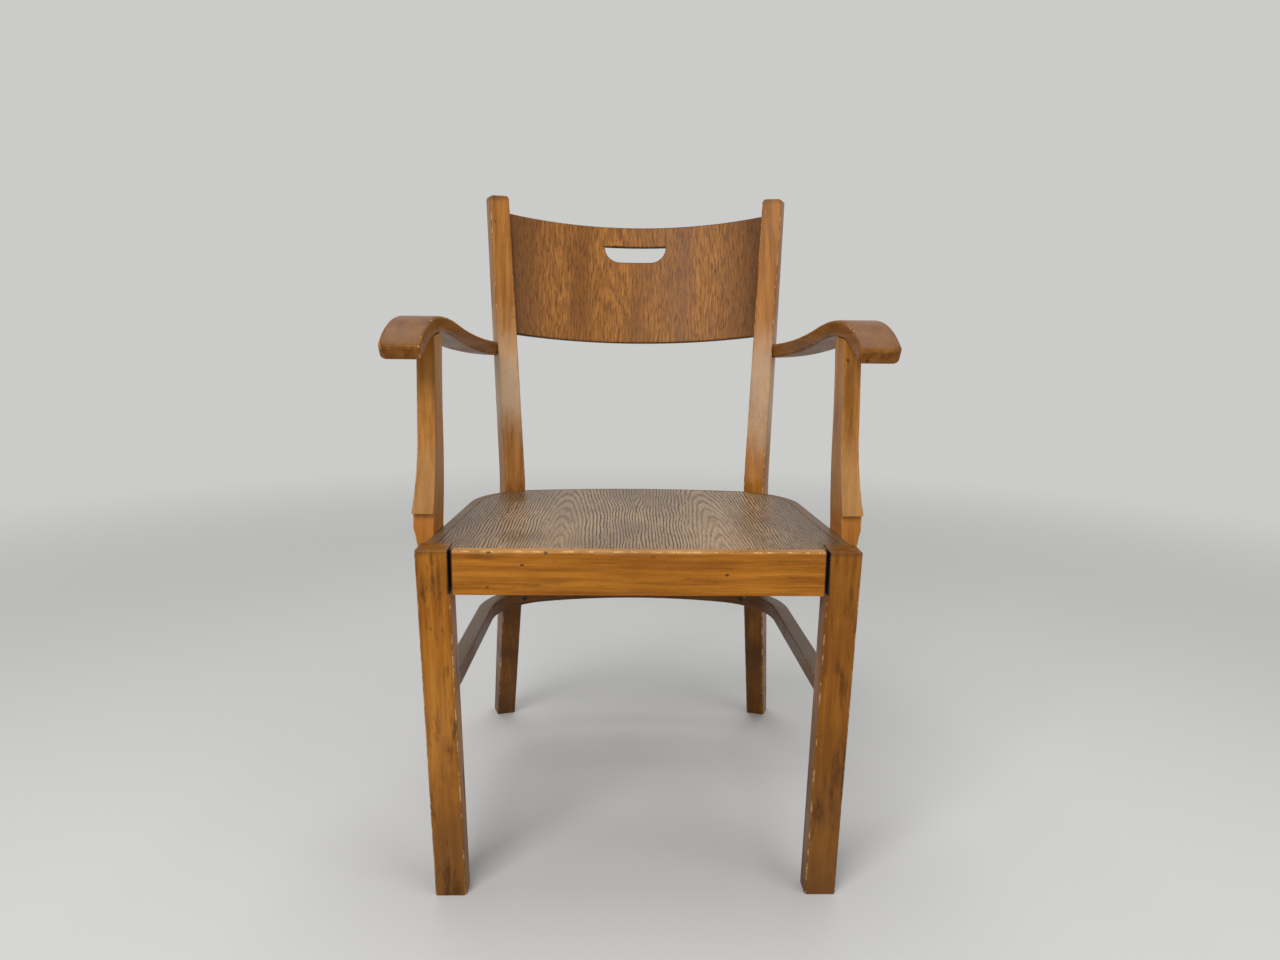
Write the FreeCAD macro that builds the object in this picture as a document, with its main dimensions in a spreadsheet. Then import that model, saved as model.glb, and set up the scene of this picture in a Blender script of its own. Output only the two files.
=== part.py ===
import FreeCAD, Part
import math
import os

import Sketcher
from FreeCAD import Placement, Rotation, Vector

# Captains chair in beech and plywood, in millimetres and degrees.
# X runs to the right as the chair is seen from the front, Y to the back, Z up.
# Pieces are drawn from the front plane of the front legs and moved forwards to the middle of
# the chair's depth, so that the origin is on the floor below the middle of the chair.
# Left is the side of negative X.

SIZES = {
    # Seat frame
    "seat_height": 436,
    "rail_height": 53,
    "rail_thickness": 24,
    "rail_gap": 3,
    "rail_strip": 13,
    "rail_round": 3.5,
    "rail_tenon_length": 20,
    "rail_tenon_front": 6,
    "ring_height": 40,
    "ring_thickness": 24,
    "ring_half_width": 255,
    "ring_side_angle": 3.7,
    "ring_corner_radius": 102,
    "ring_back_radius": 870,
    "ring_back": 393,
    "ring_round": 2,
    "ring_tenon_length": 18,
    "tenon_thickness": 8,
    "tenon_shoulder": 8,
    # Front legs
    "leg_spread": 520,
    "leg_width": 39,
    "leg_depth": 36,
    "foot_spread": 493,
    "foot_width": 38,
    "foot_depth": 30,
    "foot_forward": 2,
    "leg_round": 3,
    "leg_top_round": 2,
    # Seat panel
    "panel_thickness": 8,
    "panel_rim": 13.5,
    "panel_back_rim": 5,
    "panel_corner_radius": 96,
    "panel_round": 0.8,
    # Rear posts: turned about Z, sizes in each post's own upright frame
    "post_turn_angle": 18,
    "housing_gap": 0.9,
    "post_half_span": 198,
    "post_front": 361,
    "post_width": 31,
    "post_seat_depth": 38,
    "post_end_depth": 34,
    "post_foot_rake": 170,
    "post_foot_shift": 14,
    "post_top_rake": 132,
    "post_top_shift": 8,
    "post_knee_drop": 60,
    "post_waist_rise": 16,
    "post_height": 888,
    "post_bend_radius": 50,
    "post_back_radius": 200,
    "post_round": 3,
    "post_top_round": 6,
    # Backrest
    "back_below_top": 121,
    "back_height": 194,
    "back_thickness": 9,
    "back_radius": 388,
    "back_half_blank": 214,
    "back_inset": 9,
    "back_tongue": 8,
    "back_round": 2,
    "slot_width": 100,
    "slot_height": 26,
    "slot_below_top": 33,
    "slot_corner": 25,
    # Arms
    "arm_thickness": 21,
    "arm_nose": 15,
    "arm_nose_drop": 33,
    "arm_crest": 120,
    "arm_crest_rise": 265,
    "arm_fall_radius": 450,
    "arm_fall_length": 95,
    "arm_sweep_radius": 1458,
    "arm_end": 446,
    "arm_outer": 298,
    "arm_outer_apex": 40,
    "arm_outer_radius": 1200,
    "arm_inner": 251.5,
    "arm_inner_apex": 106,
    "arm_inner_radius": 3820,
    "arm_nose_corner": 9,
    "arm_round": 4.5,
    # Arm posts: sizes from the front outer corner of the seat ring, along and across its side
    "arm_post_lap": 25.5,
    "arm_post_foot_taper": 9.5,
    "arm_post_hip_rise": 7,
    "arm_post_shoulder_rise": 27,
    "arm_post_neck_rise": 124,
    "arm_post_lean_in": 5.5,
    "arm_post_top_thickness": 22.5,
    "arm_post_front": 36,
    "arm_post_step": 7,
    "arm_post_top_front": 52,
    "arm_post_back": 92,
    "arm_post_hollow_radius": 850,
    "arm_post_top_back": 90,
    "arm_post_inner_curve": 1250,
    "arm_post_outer_curve": 560,
    "arm_post_round": 2.5,
    # Under hoop
    "hoop_top": 256,
    "hoop_height": 22,
    "hoop_thickness": 22,
    "hoop_half_width": 249,
    "hoop_side_angle": 1.4,
    "hoop_corner_radius": 127,
    "hoop_back_radius": 522,
    "hoop_beyond_post": 79.4,
    "hoop_round": 2.5,
    # Corner blocks
    "block_reach": 62,
    "block_height": 24,
    "block_drop": 2,
    # Fixings
    "seam_gap": 0.4,
    "end_gap": 1,
    "screw_radius": 2.2,
    "screw_head_radius": 4.6,
    "screw_head_height": 2.6,
    "screw_point": 4,
    "screw_slot": 1.1,
    "screw_slot_depth": 1.2,
    "counterbore": 0.6,
    "ring_screw_length": 38,
    "ring_screw_spread": 14,
    "lap_screw_length": 38,
    "lap_screw_spread": 20,
    "hoop_screw_length": 42,
    "hoop_screw_angle": 36.9,
    "arm_screw_length": 28,
    "arm_screw_from_end": 12,
    "block_screw_length": 48,
    "block_screw_angle": 135,
    "dowel_radius": 4,
    "dowel_length": 26,
}

MARGIN = 90


class Size:
    """A length, an angle or a ratio: its value and the sheet formula that gives it."""

    def __init__(self, value, formula):
        self.value = value
        self.formula = formula

    def __add__(self, other):
        other = as_size(other)
        return Size(self.value + other.value, f"({self.formula} + {other.formula})")

    def __sub__(self, other):
        other = as_size(other)
        return Size(self.value - other.value, f"({self.formula} - {other.formula})")

    def __mul__(self, other):
        other = as_size(other)
        return Size(self.value * other.value, f"({self.formula} * {other.formula})")

    def __truediv__(self, other):
        other = as_size(other)
        return Size(self.value / other.value, f"({self.formula} / {other.formula})")

    def __neg__(self):
        return Size(-self.value, f"(0 - {self.formula})")


def as_size(number):
    """Return a plain number as a Size, and a Size as it is."""
    if isinstance(number, Size):
        return number
    return Size(number, f"{number}" if number >= 0 else f"(0 - {-number})")


def sine(angle):
    """Sine of an angle in degrees."""
    return Size(math.sin(math.radians(angle.value)), f"sin({angle.formula})")


def cosine(angle):
    """Cosine of an angle in degrees."""
    return Size(math.cos(math.radians(angle.value)), f"cos({angle.formula})")


def arc_tangent(ratio):
    """Angle in degrees whose tangent is a ratio."""
    return Size(math.degrees(math.atan(ratio.value)), f"(atan({ratio.formula}) / 1deg)")


def root(size):
    """Square root."""
    return Size(math.sqrt(size.value), f"sqrt({size.formula})")


def arc_between(start, finish, radius, side):
    """Return the shorter arc of a given radius from start to finish."""
    chord = finish - start
    rise = math.sqrt(radius ** 2 - chord.Length ** 2 / 4)
    left = Vector(-chord.y, chord.x, 0).normalize()
    centre = (start + finish) * 0.5 + left * (rise * side)
    first = math.atan2(start.y - centre.y, start.x - centre.x)
    last = math.atan2(finish.y - centre.y, finish.x - centre.x)
    if side < 0:
        first, last = last, first
    if last < first:
        last += 2 * math.pi
    return Part.ArcOfCircle(Part.Circle(centre, Vector(0, 0, 1), radius), first, last)


def edge_way(edge):
    """Unit vector from one end of an edge to the other."""
    return (edge.Vertexes[-1].Point - edge.Vertexes[0].Point).normalize()


def is_open(edge):
    """True for an edge with two ends."""
    return len(edge.Vertexes) == 2


def is_upright(edge):
    """True for an edge that runs more up than across."""
    return is_open(edge) and abs(edge_way(edge).z) > 0.8


def at_height(edge, height):
    """True for an edge that lies at one height."""
    box = edge.BoundBox
    return abs(box.ZMin - height.value) < 0.05 and abs(box.ZMax - height.value) < 0.05


class Bench:
    """The document, its sizes and the operations that every piece is made with."""

    def __init__(self):
        self.doc = FreeCAD.newDocument("captains_chair")
        self.sheet = self.doc.addObject("Spreadsheet::Sheet", "Sizes")
        self.sizes = {}
        self.rows = 0
        self.nodes = []
        for name, value in SIZES.items():
            self.write_cell(name, str(value))
            self.sizes[name] = Size(value, f"Sizes.{name}")
        self.doc.recompute()

    def __getitem__(self, name):
        return self.sizes[name]

    def write_cell(self, name, content):
        """Write a named cell in the next row of the sheet."""
        self.rows += 1
        self.sheet.set(f"A{self.rows}", name)
        self.sheet.set(f"B{self.rows}", content)
        self.sheet.setAlias(f"B{self.rows}", name)

    def derive(self, name, size):
        """Give a worked-out size a cell of its own and return it."""
        self.write_cell(name, "=" + size.formula.replace("Sizes.", ""))
        self.sizes[name] = Size(size.value, f"Sizes.{name}")
        return self.sizes[name]

    def body(self, label):
        """Start a body."""
        body = self.doc.addObject("PartDesign::Body", label)
        body.Label = label
        return body

    def keep(self, piece, label):
        """Name a finished piece and list it for export."""
        piece.Label = label
        self.nodes.append(piece)
        return piece

    def sketch(self, body, plane, name, lift=None):
        """Add a sketch on one of the body's origin planes, raised along its normal by lift."""
        sketch = body.newObject("Sketcher::SketchObject", name)
        support = next(face for face in body.Origin.OriginFeatures if face.Role == plane)
        sketch.AttachmentSupport = [(support, "")]
        sketch.MapMode = "FlatFace"
        if lift is not None:
            sketch.AttachmentOffset = Placement(Vector(0, 0, lift.value), Rotation())
            sketch.setExpression("AttachmentOffset.Base.z", lift.formula)
        return sketch

    def hold(self, sketch, constraint, size):
        """Add a constraint and bind it to a size."""
        number = sketch.addConstraint(constraint)
        sketch.setExpression(f"Constraints[{number}]", size.formula)

    def hold_point(self, sketch, geometry, end, x, y):
        """Hold one point of a sketch edge at x and y from the sketch's origin."""
        for kind, size in (("DistanceX", x), ("DistanceY", y)):
            self.hold(sketch, Sketcher.Constraint(kind, -1, 1, geometry, end, size.value), size)

    def outline(self, sketch, corners, arcs=None):
        """Draw a closed outline through corners.

        arcs maps an edge, counted from the first corner, to its radius and to the side of its
        centre: 1 on the left of the way travelled, -1 on the right.
        """
        arcs = arcs or {}
        corners = [(as_size(x), as_size(y)) for x, y in corners]
        ends = []
        for number, (x, y) in enumerate(corners):
            start = Vector(x.value, y.value, 0)
            far_x, far_y = corners[(number + 1) % len(corners)]
            finish = Vector(far_x.value, far_y.value, 0)
            if number not in arcs:
                edge = sketch.addGeometry(Part.LineSegment(start, finish), False)
                ends.append((edge, 1, 2))
                continue
            radius, side = arcs[number]
            edge = sketch.addGeometry(arc_between(start, finish, radius.value, side), False)
            ends.append((edge, 1, 2) if side > 0 else (edge, 2, 1))
            self.hold(sketch, Sketcher.Constraint("Radius", edge, radius.value), radius)
        for number, (edge, first, last) in enumerate(ends):
            following, following_first, _ = ends[(number + 1) % len(ends)]
            sketch.addConstraint(
                Sketcher.Constraint("Coincident", edge, last, following, following_first))
            self.hold_point(sketch, edge, first, *corners[number])

    def box(self, sketch, low_x, low_y, high_x, high_y):
        """Draw a rectangle between two corners."""
        self.outline(sketch, [(low_x, low_y), (high_x, low_y), (high_x, high_y), (low_x, high_y)])

    def pad(self, body, sketch, length, reverse=False, middle=False):
        """Raise a sketch by length along its normal, against it, or half each way."""
        pad = body.newObject("PartDesign::Pad", f"{sketch.Name}_pad")
        pad.Profile = sketch
        pad.Length = length.value
        pad.setExpression("Length", length.formula)
        pad.Reversed = reverse
        pad.Midplane = middle
        sketch.Visibility = False
        self.doc.recompute()

    def pocket(self, body, sketch, length, reverse=False, middle=False):
        """Cut a sketch into the body by length and make sure that wood comes away."""
        before = body.Shape.Volume
        pocket = body.newObject("PartDesign::Pocket", f"{sketch.Name}_cut")
        pocket.Profile = sketch
        pocket.Length = length.value
        pocket.setExpression("Length", length.formula)
        pocket.Reversed = reverse
        pocket.Midplane = middle
        sketch.Visibility = False
        self.doc.recompute()
        if body.Shape.Volume > before - 1:
            raise RuntimeError(f"{pocket.Name} removes nothing")

    def saw(self, body, plane, name, corners, reach, arcs=None):
        """Saw away everything outside an outline, right through the body."""
        reach = as_size(reach)
        sketch = self.sketch(body, plane, name)
        self.outline(sketch, corners, arcs)
        self.box(sketch, -reach, -reach, reach, reach)
        self.pocket(body, sketch, reach * 2, middle=True)

    def round_edges(self, body, name, radius, wanted):
        """Fillet the edges of the body's present shape that wanted accepts."""
        base = body.Tip
        edges = [f"Edge{number}" for number, edge in enumerate(base.Shape.Edges, start=1)
                 if wanted(edge)]
        if not edges:
            raise RuntimeError(f"{name} finds no edge")
        fillet = body.newObject("PartDesign::Fillet", name)
        fillet.Base = (base, edges)
        fillet.Radius = radius.value
        fillet.setExpression("Radius", radius.formula)
        self.doc.recompute()
        if fillet.Shape.isNull() or not fillet.Shape.isValid():
            raise RuntimeError(f"{name} fails")

    def place(self, piece, x=0, y=0, z=0, turn=0):
        """Stand a piece at x, y and z from the front plane of the legs, turned about Z."""
        x, y, z, turn = as_size(x), as_size(y), as_size(z), as_size(turn)
        along = y - self["half_depth"]
        piece.Placement = Placement(Vector(x.value, along.value, z.value),
                                    Rotation(Vector(0, 0, 1), turn.value))
        piece.setExpression("Placement.Base.x", x.formula)
        piece.setExpression("Placement.Base.y", along.formula)
        piece.setExpression("Placement.Base.z", z.formula)
        piece.setExpression("Placement.Rotation.Angle", turn.formula)

    def cut(self, base, tools, label):
        """Cut tools from a piece, one after the other."""
        for number, tool in enumerate(tools, start=1):
            step = self.doc.addObject("Part::Cut", f"{label}_cut_{number}")
            step.Base = base
            step.Tool = tool
            self.doc.recompute()
            if step.Shape.isNull() or step.Shape.Volume > base.Shape.Volume - 1:
                raise RuntimeError(f"{step.Name} removes nothing")
            base = step
        return base

    def mirror(self, piece, name):
        """Make the right-hand twin of a left-hand piece."""
        twin = self.doc.addObject("Part::Mirroring", name)
        twin.Source = piece
        twin.Normal = (1, 0, 0)
        self.doc.recompute()
        return twin

    def group(self, pieces, name):
        """Bring separate pieces together in one compound, without joining them."""
        group = self.doc.addObject("Part::Compound", name)
        group.Links = pieces
        self.doc.recompute()
        return group


def spot(x, y, turn, across, along):
    """Turn a point of a piece's own frame, standing at x and y, to the chair's frame."""
    return (x + cosine(turn) * across - sine(turn) * along,
            y + sine(turn) * across + cosine(turn) * along)


class Bend:
    """Left half of a U outline: a straight side, a corner arc and the arc of the back.

    The side starts at half_width and start, and leans in by angle. The corner arc runs on from
    it and into the back arc, which is farthest back at back.
    """

    def __init__(self, bench, name, half_width, start, angle, corner, back_radius, back):
        self.corner = bench.derive(f"{name}_corner", corner)
        self.back_radius = bench.derive(f"{name}_back_arc", back_radius)
        self.back = back
        self.angle = angle
        self.half_width = half_width
        self.start = start
        lean, run = sine(angle), cosine(angle)
        off_x = bench.derive(f"{name}_off_x", run * corner - half_width)
        off_y = bench.derive(f"{name}_off_y", start - lean * corner - back + back_radius)
        inner = back_radius - corner
        along = bench.derive(f"{name}_off", off_x * lean + off_y * run)
        length = bench.derive(
            f"{name}_side", root(along * along - off_x * off_x - off_y * off_y + inner * inner)
            - along)
        self.centre_x = bench.derive(f"{name}_centre_x", off_x + length * lean)
        self.centre_y = bench.derive(
            f"{name}_centre_y", off_y + length * run + back - back_radius)
        self.side_x = bench.derive(f"{name}_side_x", self.centre_x - run * corner)
        self.side_y = bench.derive(f"{name}_side_y", self.centre_y + lean * corner)
        ratio = bench.derive(f"{name}_ratio", corner / inner)
        self.turn_x = bench.derive(f"{name}_turn_x", self.centre_x + self.centre_x * ratio)
        self.turn_y = bench.derive(
            f"{name}_turn_y",
            self.centre_y + (self.centre_y - back + back_radius) * ratio)
        self.bench = bench
        self.name = name

    def side_at(self, y):
        """Half width of the straight side's line at y."""
        return self.half_width - (y - self.start) * sine(self.angle) / cosine(self.angle)

    def inset(self, name, thickness):
        """Return the same outline moved inwards by a thickness."""
        return Bend(self.bench, name, self.half_width - thickness / cosine(self.angle),
                    self.start, self.angle, self.corner - thickness,
                    self.back_radius - thickness, self.back - thickness)

    def path(self, start):
        """Corners and arcs from the left front, round the back, to the right front."""
        corners = [
            (-self.side_at(start), start),
            (self.side_x, self.side_y),
            (self.turn_x, self.turn_y),
            (-self.turn_x, self.turn_y),
            (-self.side_x, self.side_y),
            (self.side_at(start), start),
        ]
        arcs = {1: (self.corner, -1), 2: (self.back_radius, -1), 3: (self.corner, -1)}
        return corners, arcs


def draw_u(bench, sketch, outer, inner, start):
    """Draw the closed outline between two bends that both begin at start."""
    corners, arcs = outer.path(start)
    inner_corners, _ = inner.path(start)
    arcs = dict(arcs)
    arcs.update({7: (inner.corner, 1), 8: (inner.back_radius, 1), 9: (inner.corner, 1)})
    bench.outline(sketch, corners + inner_corners[::-1], arcs)


def derive_shared(bench):
    """Work out the places where pieces meet."""
    turn = bench["post_turn_angle"]
    reach = bench["post_front"] + (
        bench["post_foot_rake"] + bench["post_end_depth"]) * cosine(turn)
    reach = reach + (bench["post_foot_shift"] + bench["post_width"]) * sine(turn)
    reach = reach - bench["post_round"] * (cosine(turn) + sine(turn) - 1)
    bench.derive("half_depth", (reach - bench["foot_forward"]) / 2)
    bench.derive("leg_inner_top", bench["leg_spread"] / 2 - bench["leg_width"])
    bench.derive("leg_inner_foot", bench["foot_spread"] / 2 - bench["foot_width"])
    bench.derive("panel_floor", bench["seat_height"] - bench["panel_thickness"])
    bench.derive("ring_floor", bench["seat_height"] - bench["ring_height"])
    bench.derive("rail_floor", bench["seat_height"] - bench["rail_height"])
    seat = bench["seat_height"]
    bench.derive("post_knee", seat - bench["post_knee_drop"])
    bench.derive("post_waist", seat + bench["post_waist_rise"])
    bench.derive("arm_crest_height", seat + bench["arm_crest_rise"])
    bench.derive("arm_post_hip", seat + bench["arm_post_hip_rise"])
    bench.derive("arm_post_shoulder", seat + bench["arm_post_shoulder_rise"])
    bench.derive("arm_post_neck", seat + bench["arm_post_neck_rise"])
    knee, hoop = bench["post_knee"], bench["hoop_top"]
    under = bench["post_foot_rake"] * cosine(turn) * (knee - hoop) / knee
    bench.derive("hoop_back", bench["post_front"] + under + bench["hoop_beyond_post"])
    bench.derive("back_middle", bench["post_height"] - bench["back_below_top"])
    bench.derive("rise", bench["post_height"] - bench["post_waist"])
    part_way = (bench["back_middle"] - bench["post_waist"]) / bench["rise"]
    across = bench.derive("back_across", bench["post_top_shift"] * part_way + bench["post_width"])
    along = bench.derive("back_along", bench["post_top_rake"] * part_way + bench["back_inset"])
    meet_x, meet_y = spot(-bench["post_half_span"], bench["post_front"], turn, across, along)
    meet_x = bench.derive("back_meet_x", meet_x)
    radius = bench["back_radius"]
    sag = bench.derive("back_sag", radius - root(radius * radius - meet_x * meet_x))
    lean = bench["post_top_rake"] * cosine(turn) + bench["post_top_shift"] * sine(turn)
    lean = bench.derive("back_lean", arc_tangent(lean / bench["rise"]))
    bench.derive("back_y", meet_y + sag * cosine(lean))
    bench.derive("back_z", bench["back_middle"] - sag * sine(lean))


def make_front_leg(bench, label, finished):
    """Tapered leg, upright behind the rail; unfinished, it is only the sawn blank."""
    leg = bench.body(label)
    outer, foot = -bench["leg_spread"] / 2, -bench["foot_spread"] / 2
    top = bench["seat_height"]
    side = bench.sketch(leg, "YZ_Plane", f"{label}_side")
    bench.outline(side, [
        (-bench["foot_forward"], 0),
        (bench["foot_depth"] - bench["foot_forward"], 0),
        (bench["leg_depth"], bench["rail_floor"]),
        (bench["leg_depth"], top),
        (0, top),
        (0, bench["rail_floor"]),
    ])
    bench.pad(leg, side, bench["leg_spread"] * 2, middle=True)
    bench.saw(leg, "XZ_Plane", f"{label}_face", [
        (foot, 0),
        (foot + bench["foot_width"], 0),
        (outer + bench["leg_width"], top),
        (outer, top),
    ], bench["leg_spread"] * 2)
    bench.place(leg)
    if not finished:
        return leg
    bench.round_edges(leg, f"{label}_round", bench["leg_round"], is_upright)
    bench.round_edges(leg, f"{label}_top", bench["leg_top_round"],
                      lambda edge: at_height(edge, top))
    rail = bench.sketch(leg, "XY_Plane", f"{label}_rail_mortise",
                        bench["rail_floor"] + bench["tenon_shoulder"])
    bench.box(rail, rail_tenon_end(bench) - bench["end_gap"], bench["rail_tenon_front"],
              -bench["leg_inner_top"] + MARGIN, bench["rail_tenon_front"]
              + bench["tenon_thickness"])
    bench.pocket(leg, rail, bench["rail_height"] - bench["tenon_shoulder"] * 2, reverse=True)
    ring = bench.sketch(leg, "XY_Plane", f"{label}_ring_mortise",
                        bench["ring_floor"] + bench["tenon_shoulder"])
    low, high = ring_tenon_sides(bench)
    bench.box(ring, low, bench["leg_depth"] - bench["ring_tenon_length"] - bench["end_gap"],
              high, bench["leg_depth"] + MARGIN)
    bench.pocket(leg, ring, ring_tenon_height(bench), reverse=True)
    return leg


def rail_tenon_end(bench):
    """X of the left end of the front rail's tenon."""
    return -bench["leg_inner_top"] + bench["rail_gap"] - bench["rail_tenon_length"]


def ring_tenon_sides(bench):
    """X of the outer and inner cheeks of the left tenon of the seat ring."""
    middle = -bench["ring_half_width"] + bench["ring_thickness"] / 2
    half = bench["tenon_thickness"] / 2
    return middle - half, middle + half


def ring_tenon_height(bench):
    """Height of the seat ring's tenons, below the seat panel."""
    return bench["panel_floor"] - bench["ring_floor"] - bench["tenon_shoulder"]


def make_front_rail(bench):
    """Rail between the front legs, with a tenon at each end and a ledge for the panel."""
    rail = bench.body("rail")
    top, floor = bench["seat_height"], bench["rail_floor"]
    half_top = bench["leg_inner_top"] - bench["rail_gap"]
    slope = (bench["leg_inner_top"] - bench["leg_inner_foot"]) / top
    half_floor = half_top - slope * bench["rail_height"]
    face = bench.sketch(rail, "XZ_Plane", "rail_face")
    bench.outline(face, [(-half_floor, floor), (half_floor, floor), (half_top, top),
                         (-half_top, top)])
    bench.pad(rail, face, bench["rail_thickness"], reverse=True)
    bench.round_edges(rail, "rail_front_round", bench["rail_round"],
                      lambda edge: at_height(edge, top) and edge.BoundBox.YMax < 0.1)
    tenon = bench.sketch(rail, "XY_Plane", "rail_tenon", floor + bench["tenon_shoulder"])
    bench.box(tenon, rail_tenon_end(bench), bench["rail_tenon_front"], -rail_tenon_end(bench),
              bench["rail_tenon_front"] + bench["tenon_thickness"])
    bench.pad(rail, tenon, bench["rail_height"] - bench["tenon_shoulder"] * 2)
    ledge = bench.sketch(rail, "XY_Plane", "rail_ledge", top)
    bench.box(ledge, -half_top - MARGIN, bench["rail_strip"] - bench["seam_gap"],
              half_top + MARGIN, bench["rail_thickness"] + MARGIN)
    bench.pocket(rail, ledge, bench["panel_thickness"])
    bench.place(rail)
    return rail


def draw_panel(bench, sketch, bend, gap):
    """Draw the seat panel's outline, its notches standing off the legs by gap."""
    inner = bench["leg_inner_top"] - gap
    front, behind = bench["rail_strip"], bench["leg_depth"] + gap
    corners, arcs = bend.path(behind)
    corners = corners + [(inner, behind), (inner, front), (-inner, front), (-inner, behind)]
    bench.outline(sketch, corners, arcs)


def make_seat_panel(bench, bend):
    """Veneered seat panel."""
    panel = bench.body("panel")
    sketch = bench.sketch(panel, "XY_Plane", "panel_outline", bench["panel_floor"])
    draw_panel(bench, sketch, bend, bench["seam_gap"])
    bench.pad(panel, sketch, bench["panel_thickness"])
    bench.round_edges(panel, "panel_edge", bench["panel_round"],
                      lambda edge: at_height(edge, bench["seat_height"]))
    bench.place(panel)
    return panel


def make_seat_ring(bench, outer, inner, rebate):
    """Bent seat ring with a tenon at each end and a rebate for the panel."""
    ring = bench.body("ring")
    top, start = bench["seat_height"], bench["leg_depth"]
    plan = bench.sketch(ring, "XY_Plane", "ring_plan", bench["ring_floor"])
    draw_u(bench, plan, outer, inner, start)
    bench.pad(ring, plan, bench["ring_height"])
    low, high = ring_tenon_sides(bench)
    for name, left, right in (("left", low, high), ("right", -high, -low)):
        tenon = bench.sketch(ring, "XY_Plane", f"ring_tenon_{name}",
                             bench["ring_floor"] + bench["tenon_shoulder"])
        bench.box(tenon, left, start - bench["ring_tenon_length"], right, start + 1)
        bench.pad(ring, tenon, ring_tenon_height(bench))
    recess = bench.sketch(ring, "XY_Plane", "ring_recess", top)
    corners, arcs = rebate.path(start)
    bench.outline(recess, corners, arcs)
    bench.pocket(ring, recess, bench["panel_thickness"])

    def is_rim(edge):
        if not at_height(edge, top) and not at_height(edge, bench["ring_floor"]):
            return False
        if edge.BoundBox.YMax - edge.BoundBox.YMin < 0.5:
            return False
        middle = edge.valueAt((edge.FirstParameter + edge.LastParameter) / 2)
        return at_height(edge, bench["ring_floor"]) or is_outside(middle, rebate)

    bench.round_edges(ring, "ring_edges", bench["ring_round"], is_rim)
    bench.place(ring)
    return ring


def is_outside(point, bend):
    """True when a point lies more than a hair outside a bend."""
    if point.y > bend.turn_y.value and abs(point.x) < abs(bend.turn_x.value):
        centre = Vector(0, bend.back.value - bend.back_radius.value, 0)
        return math.hypot(point.x, point.y - centre.y) > bend.back_radius.value + 1
    if point.y > bend.side_y.value:
        across = abs(point.x) - abs(bend.centre_x.value)
        return math.hypot(across, point.y - bend.centre_y.value) > bend.corner.value + 1
    return abs(point.x) > bend.side_at(as_size(point.y)).value + 1


def make_rear_post(bench, label, finished, tongue=None):
    """Rear post, bent at the seat; for a tongue, the wood beyond the tongue's end instead."""
    post = bench.body(label)
    knee, waist, top = bench["post_knee"], bench["post_waist"], bench["post_height"]
    foot, back = bench["post_foot_rake"], bench["post_end_depth"]
    side = bench.sketch(post, "YZ_Plane", f"{label}_side")
    middle = (knee + waist) / 2
    inner, outer, front = bench["post_width"], as_size(0), as_size(0)
    if tongue is not None:
        inner, outer, front = inner - tongue, as_size(-MARGIN), -back
    bench.outline(side, [
        (front + foot, 0),
        (foot + back, 0),
        (bench["post_seat_depth"], middle),
        (bench["post_top_rake"] + back, top),
        (front + bench["post_top_rake"], top),
        (front, waist),
        (front, knee),
    ])
    bench.pad(post, side, bench["post_height"], middle=True)
    bench.round_edges(post, f"{label}_bend", bench["post_bend_radius"],
                      lambda edge: is_corner(edge, knee) or is_corner(edge, waist))
    bench.round_edges(post, f"{label}_hollow", bench["post_back_radius"],
                      lambda edge: is_corner(edge, middle))
    foot_in, top_in = bench["post_foot_shift"], bench["post_top_shift"]
    bench.saw(post, "XZ_Plane", f"{label}_face", [
        (foot_in + outer, 0),
        (foot_in + inner, 0),
        (inner, middle),
        (top_in + inner, top),
        (top_in + outer, top),
        (outer, middle),
    ], bench["post_height"] * 1.2)
    bench.place(post, -bench["post_half_span"], bench["post_front"], 0, bench["post_turn_angle"])
    if finished:
        bench.round_edges(post, f"{label}_crown", bench["post_top_round"],
                          lambda edge: at_height(edge, top) and abs(edge_way(edge).y) > 0.9)
        bench.round_edges(post, f"{label}_round", bench["post_round"], is_upright)
    return post


def make_housing(bench):
    """Upright slot that the left rear post stands in, a little wider than the post."""
    housing = bench.body("housing")
    gap = bench["housing_gap"]
    plan = bench.sketch(housing, "XY_Plane", "housing_plan", bench["ring_floor"] - MARGIN)
    bench.box(plan, -gap, 0, bench["post_width"] + gap, bench["post_seat_depth"])
    bench.pad(housing, plan, bench["ring_height"] + MARGIN * 2)
    bench.place(housing, -bench["post_half_span"], bench["post_front"], 0, bench["post_turn_angle"])
    return housing


def is_corner(edge, height):
    """True for a straight edge across a piece at a height."""
    return at_height(edge, height) and abs(edge_way(edge).x) > 0.99


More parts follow.
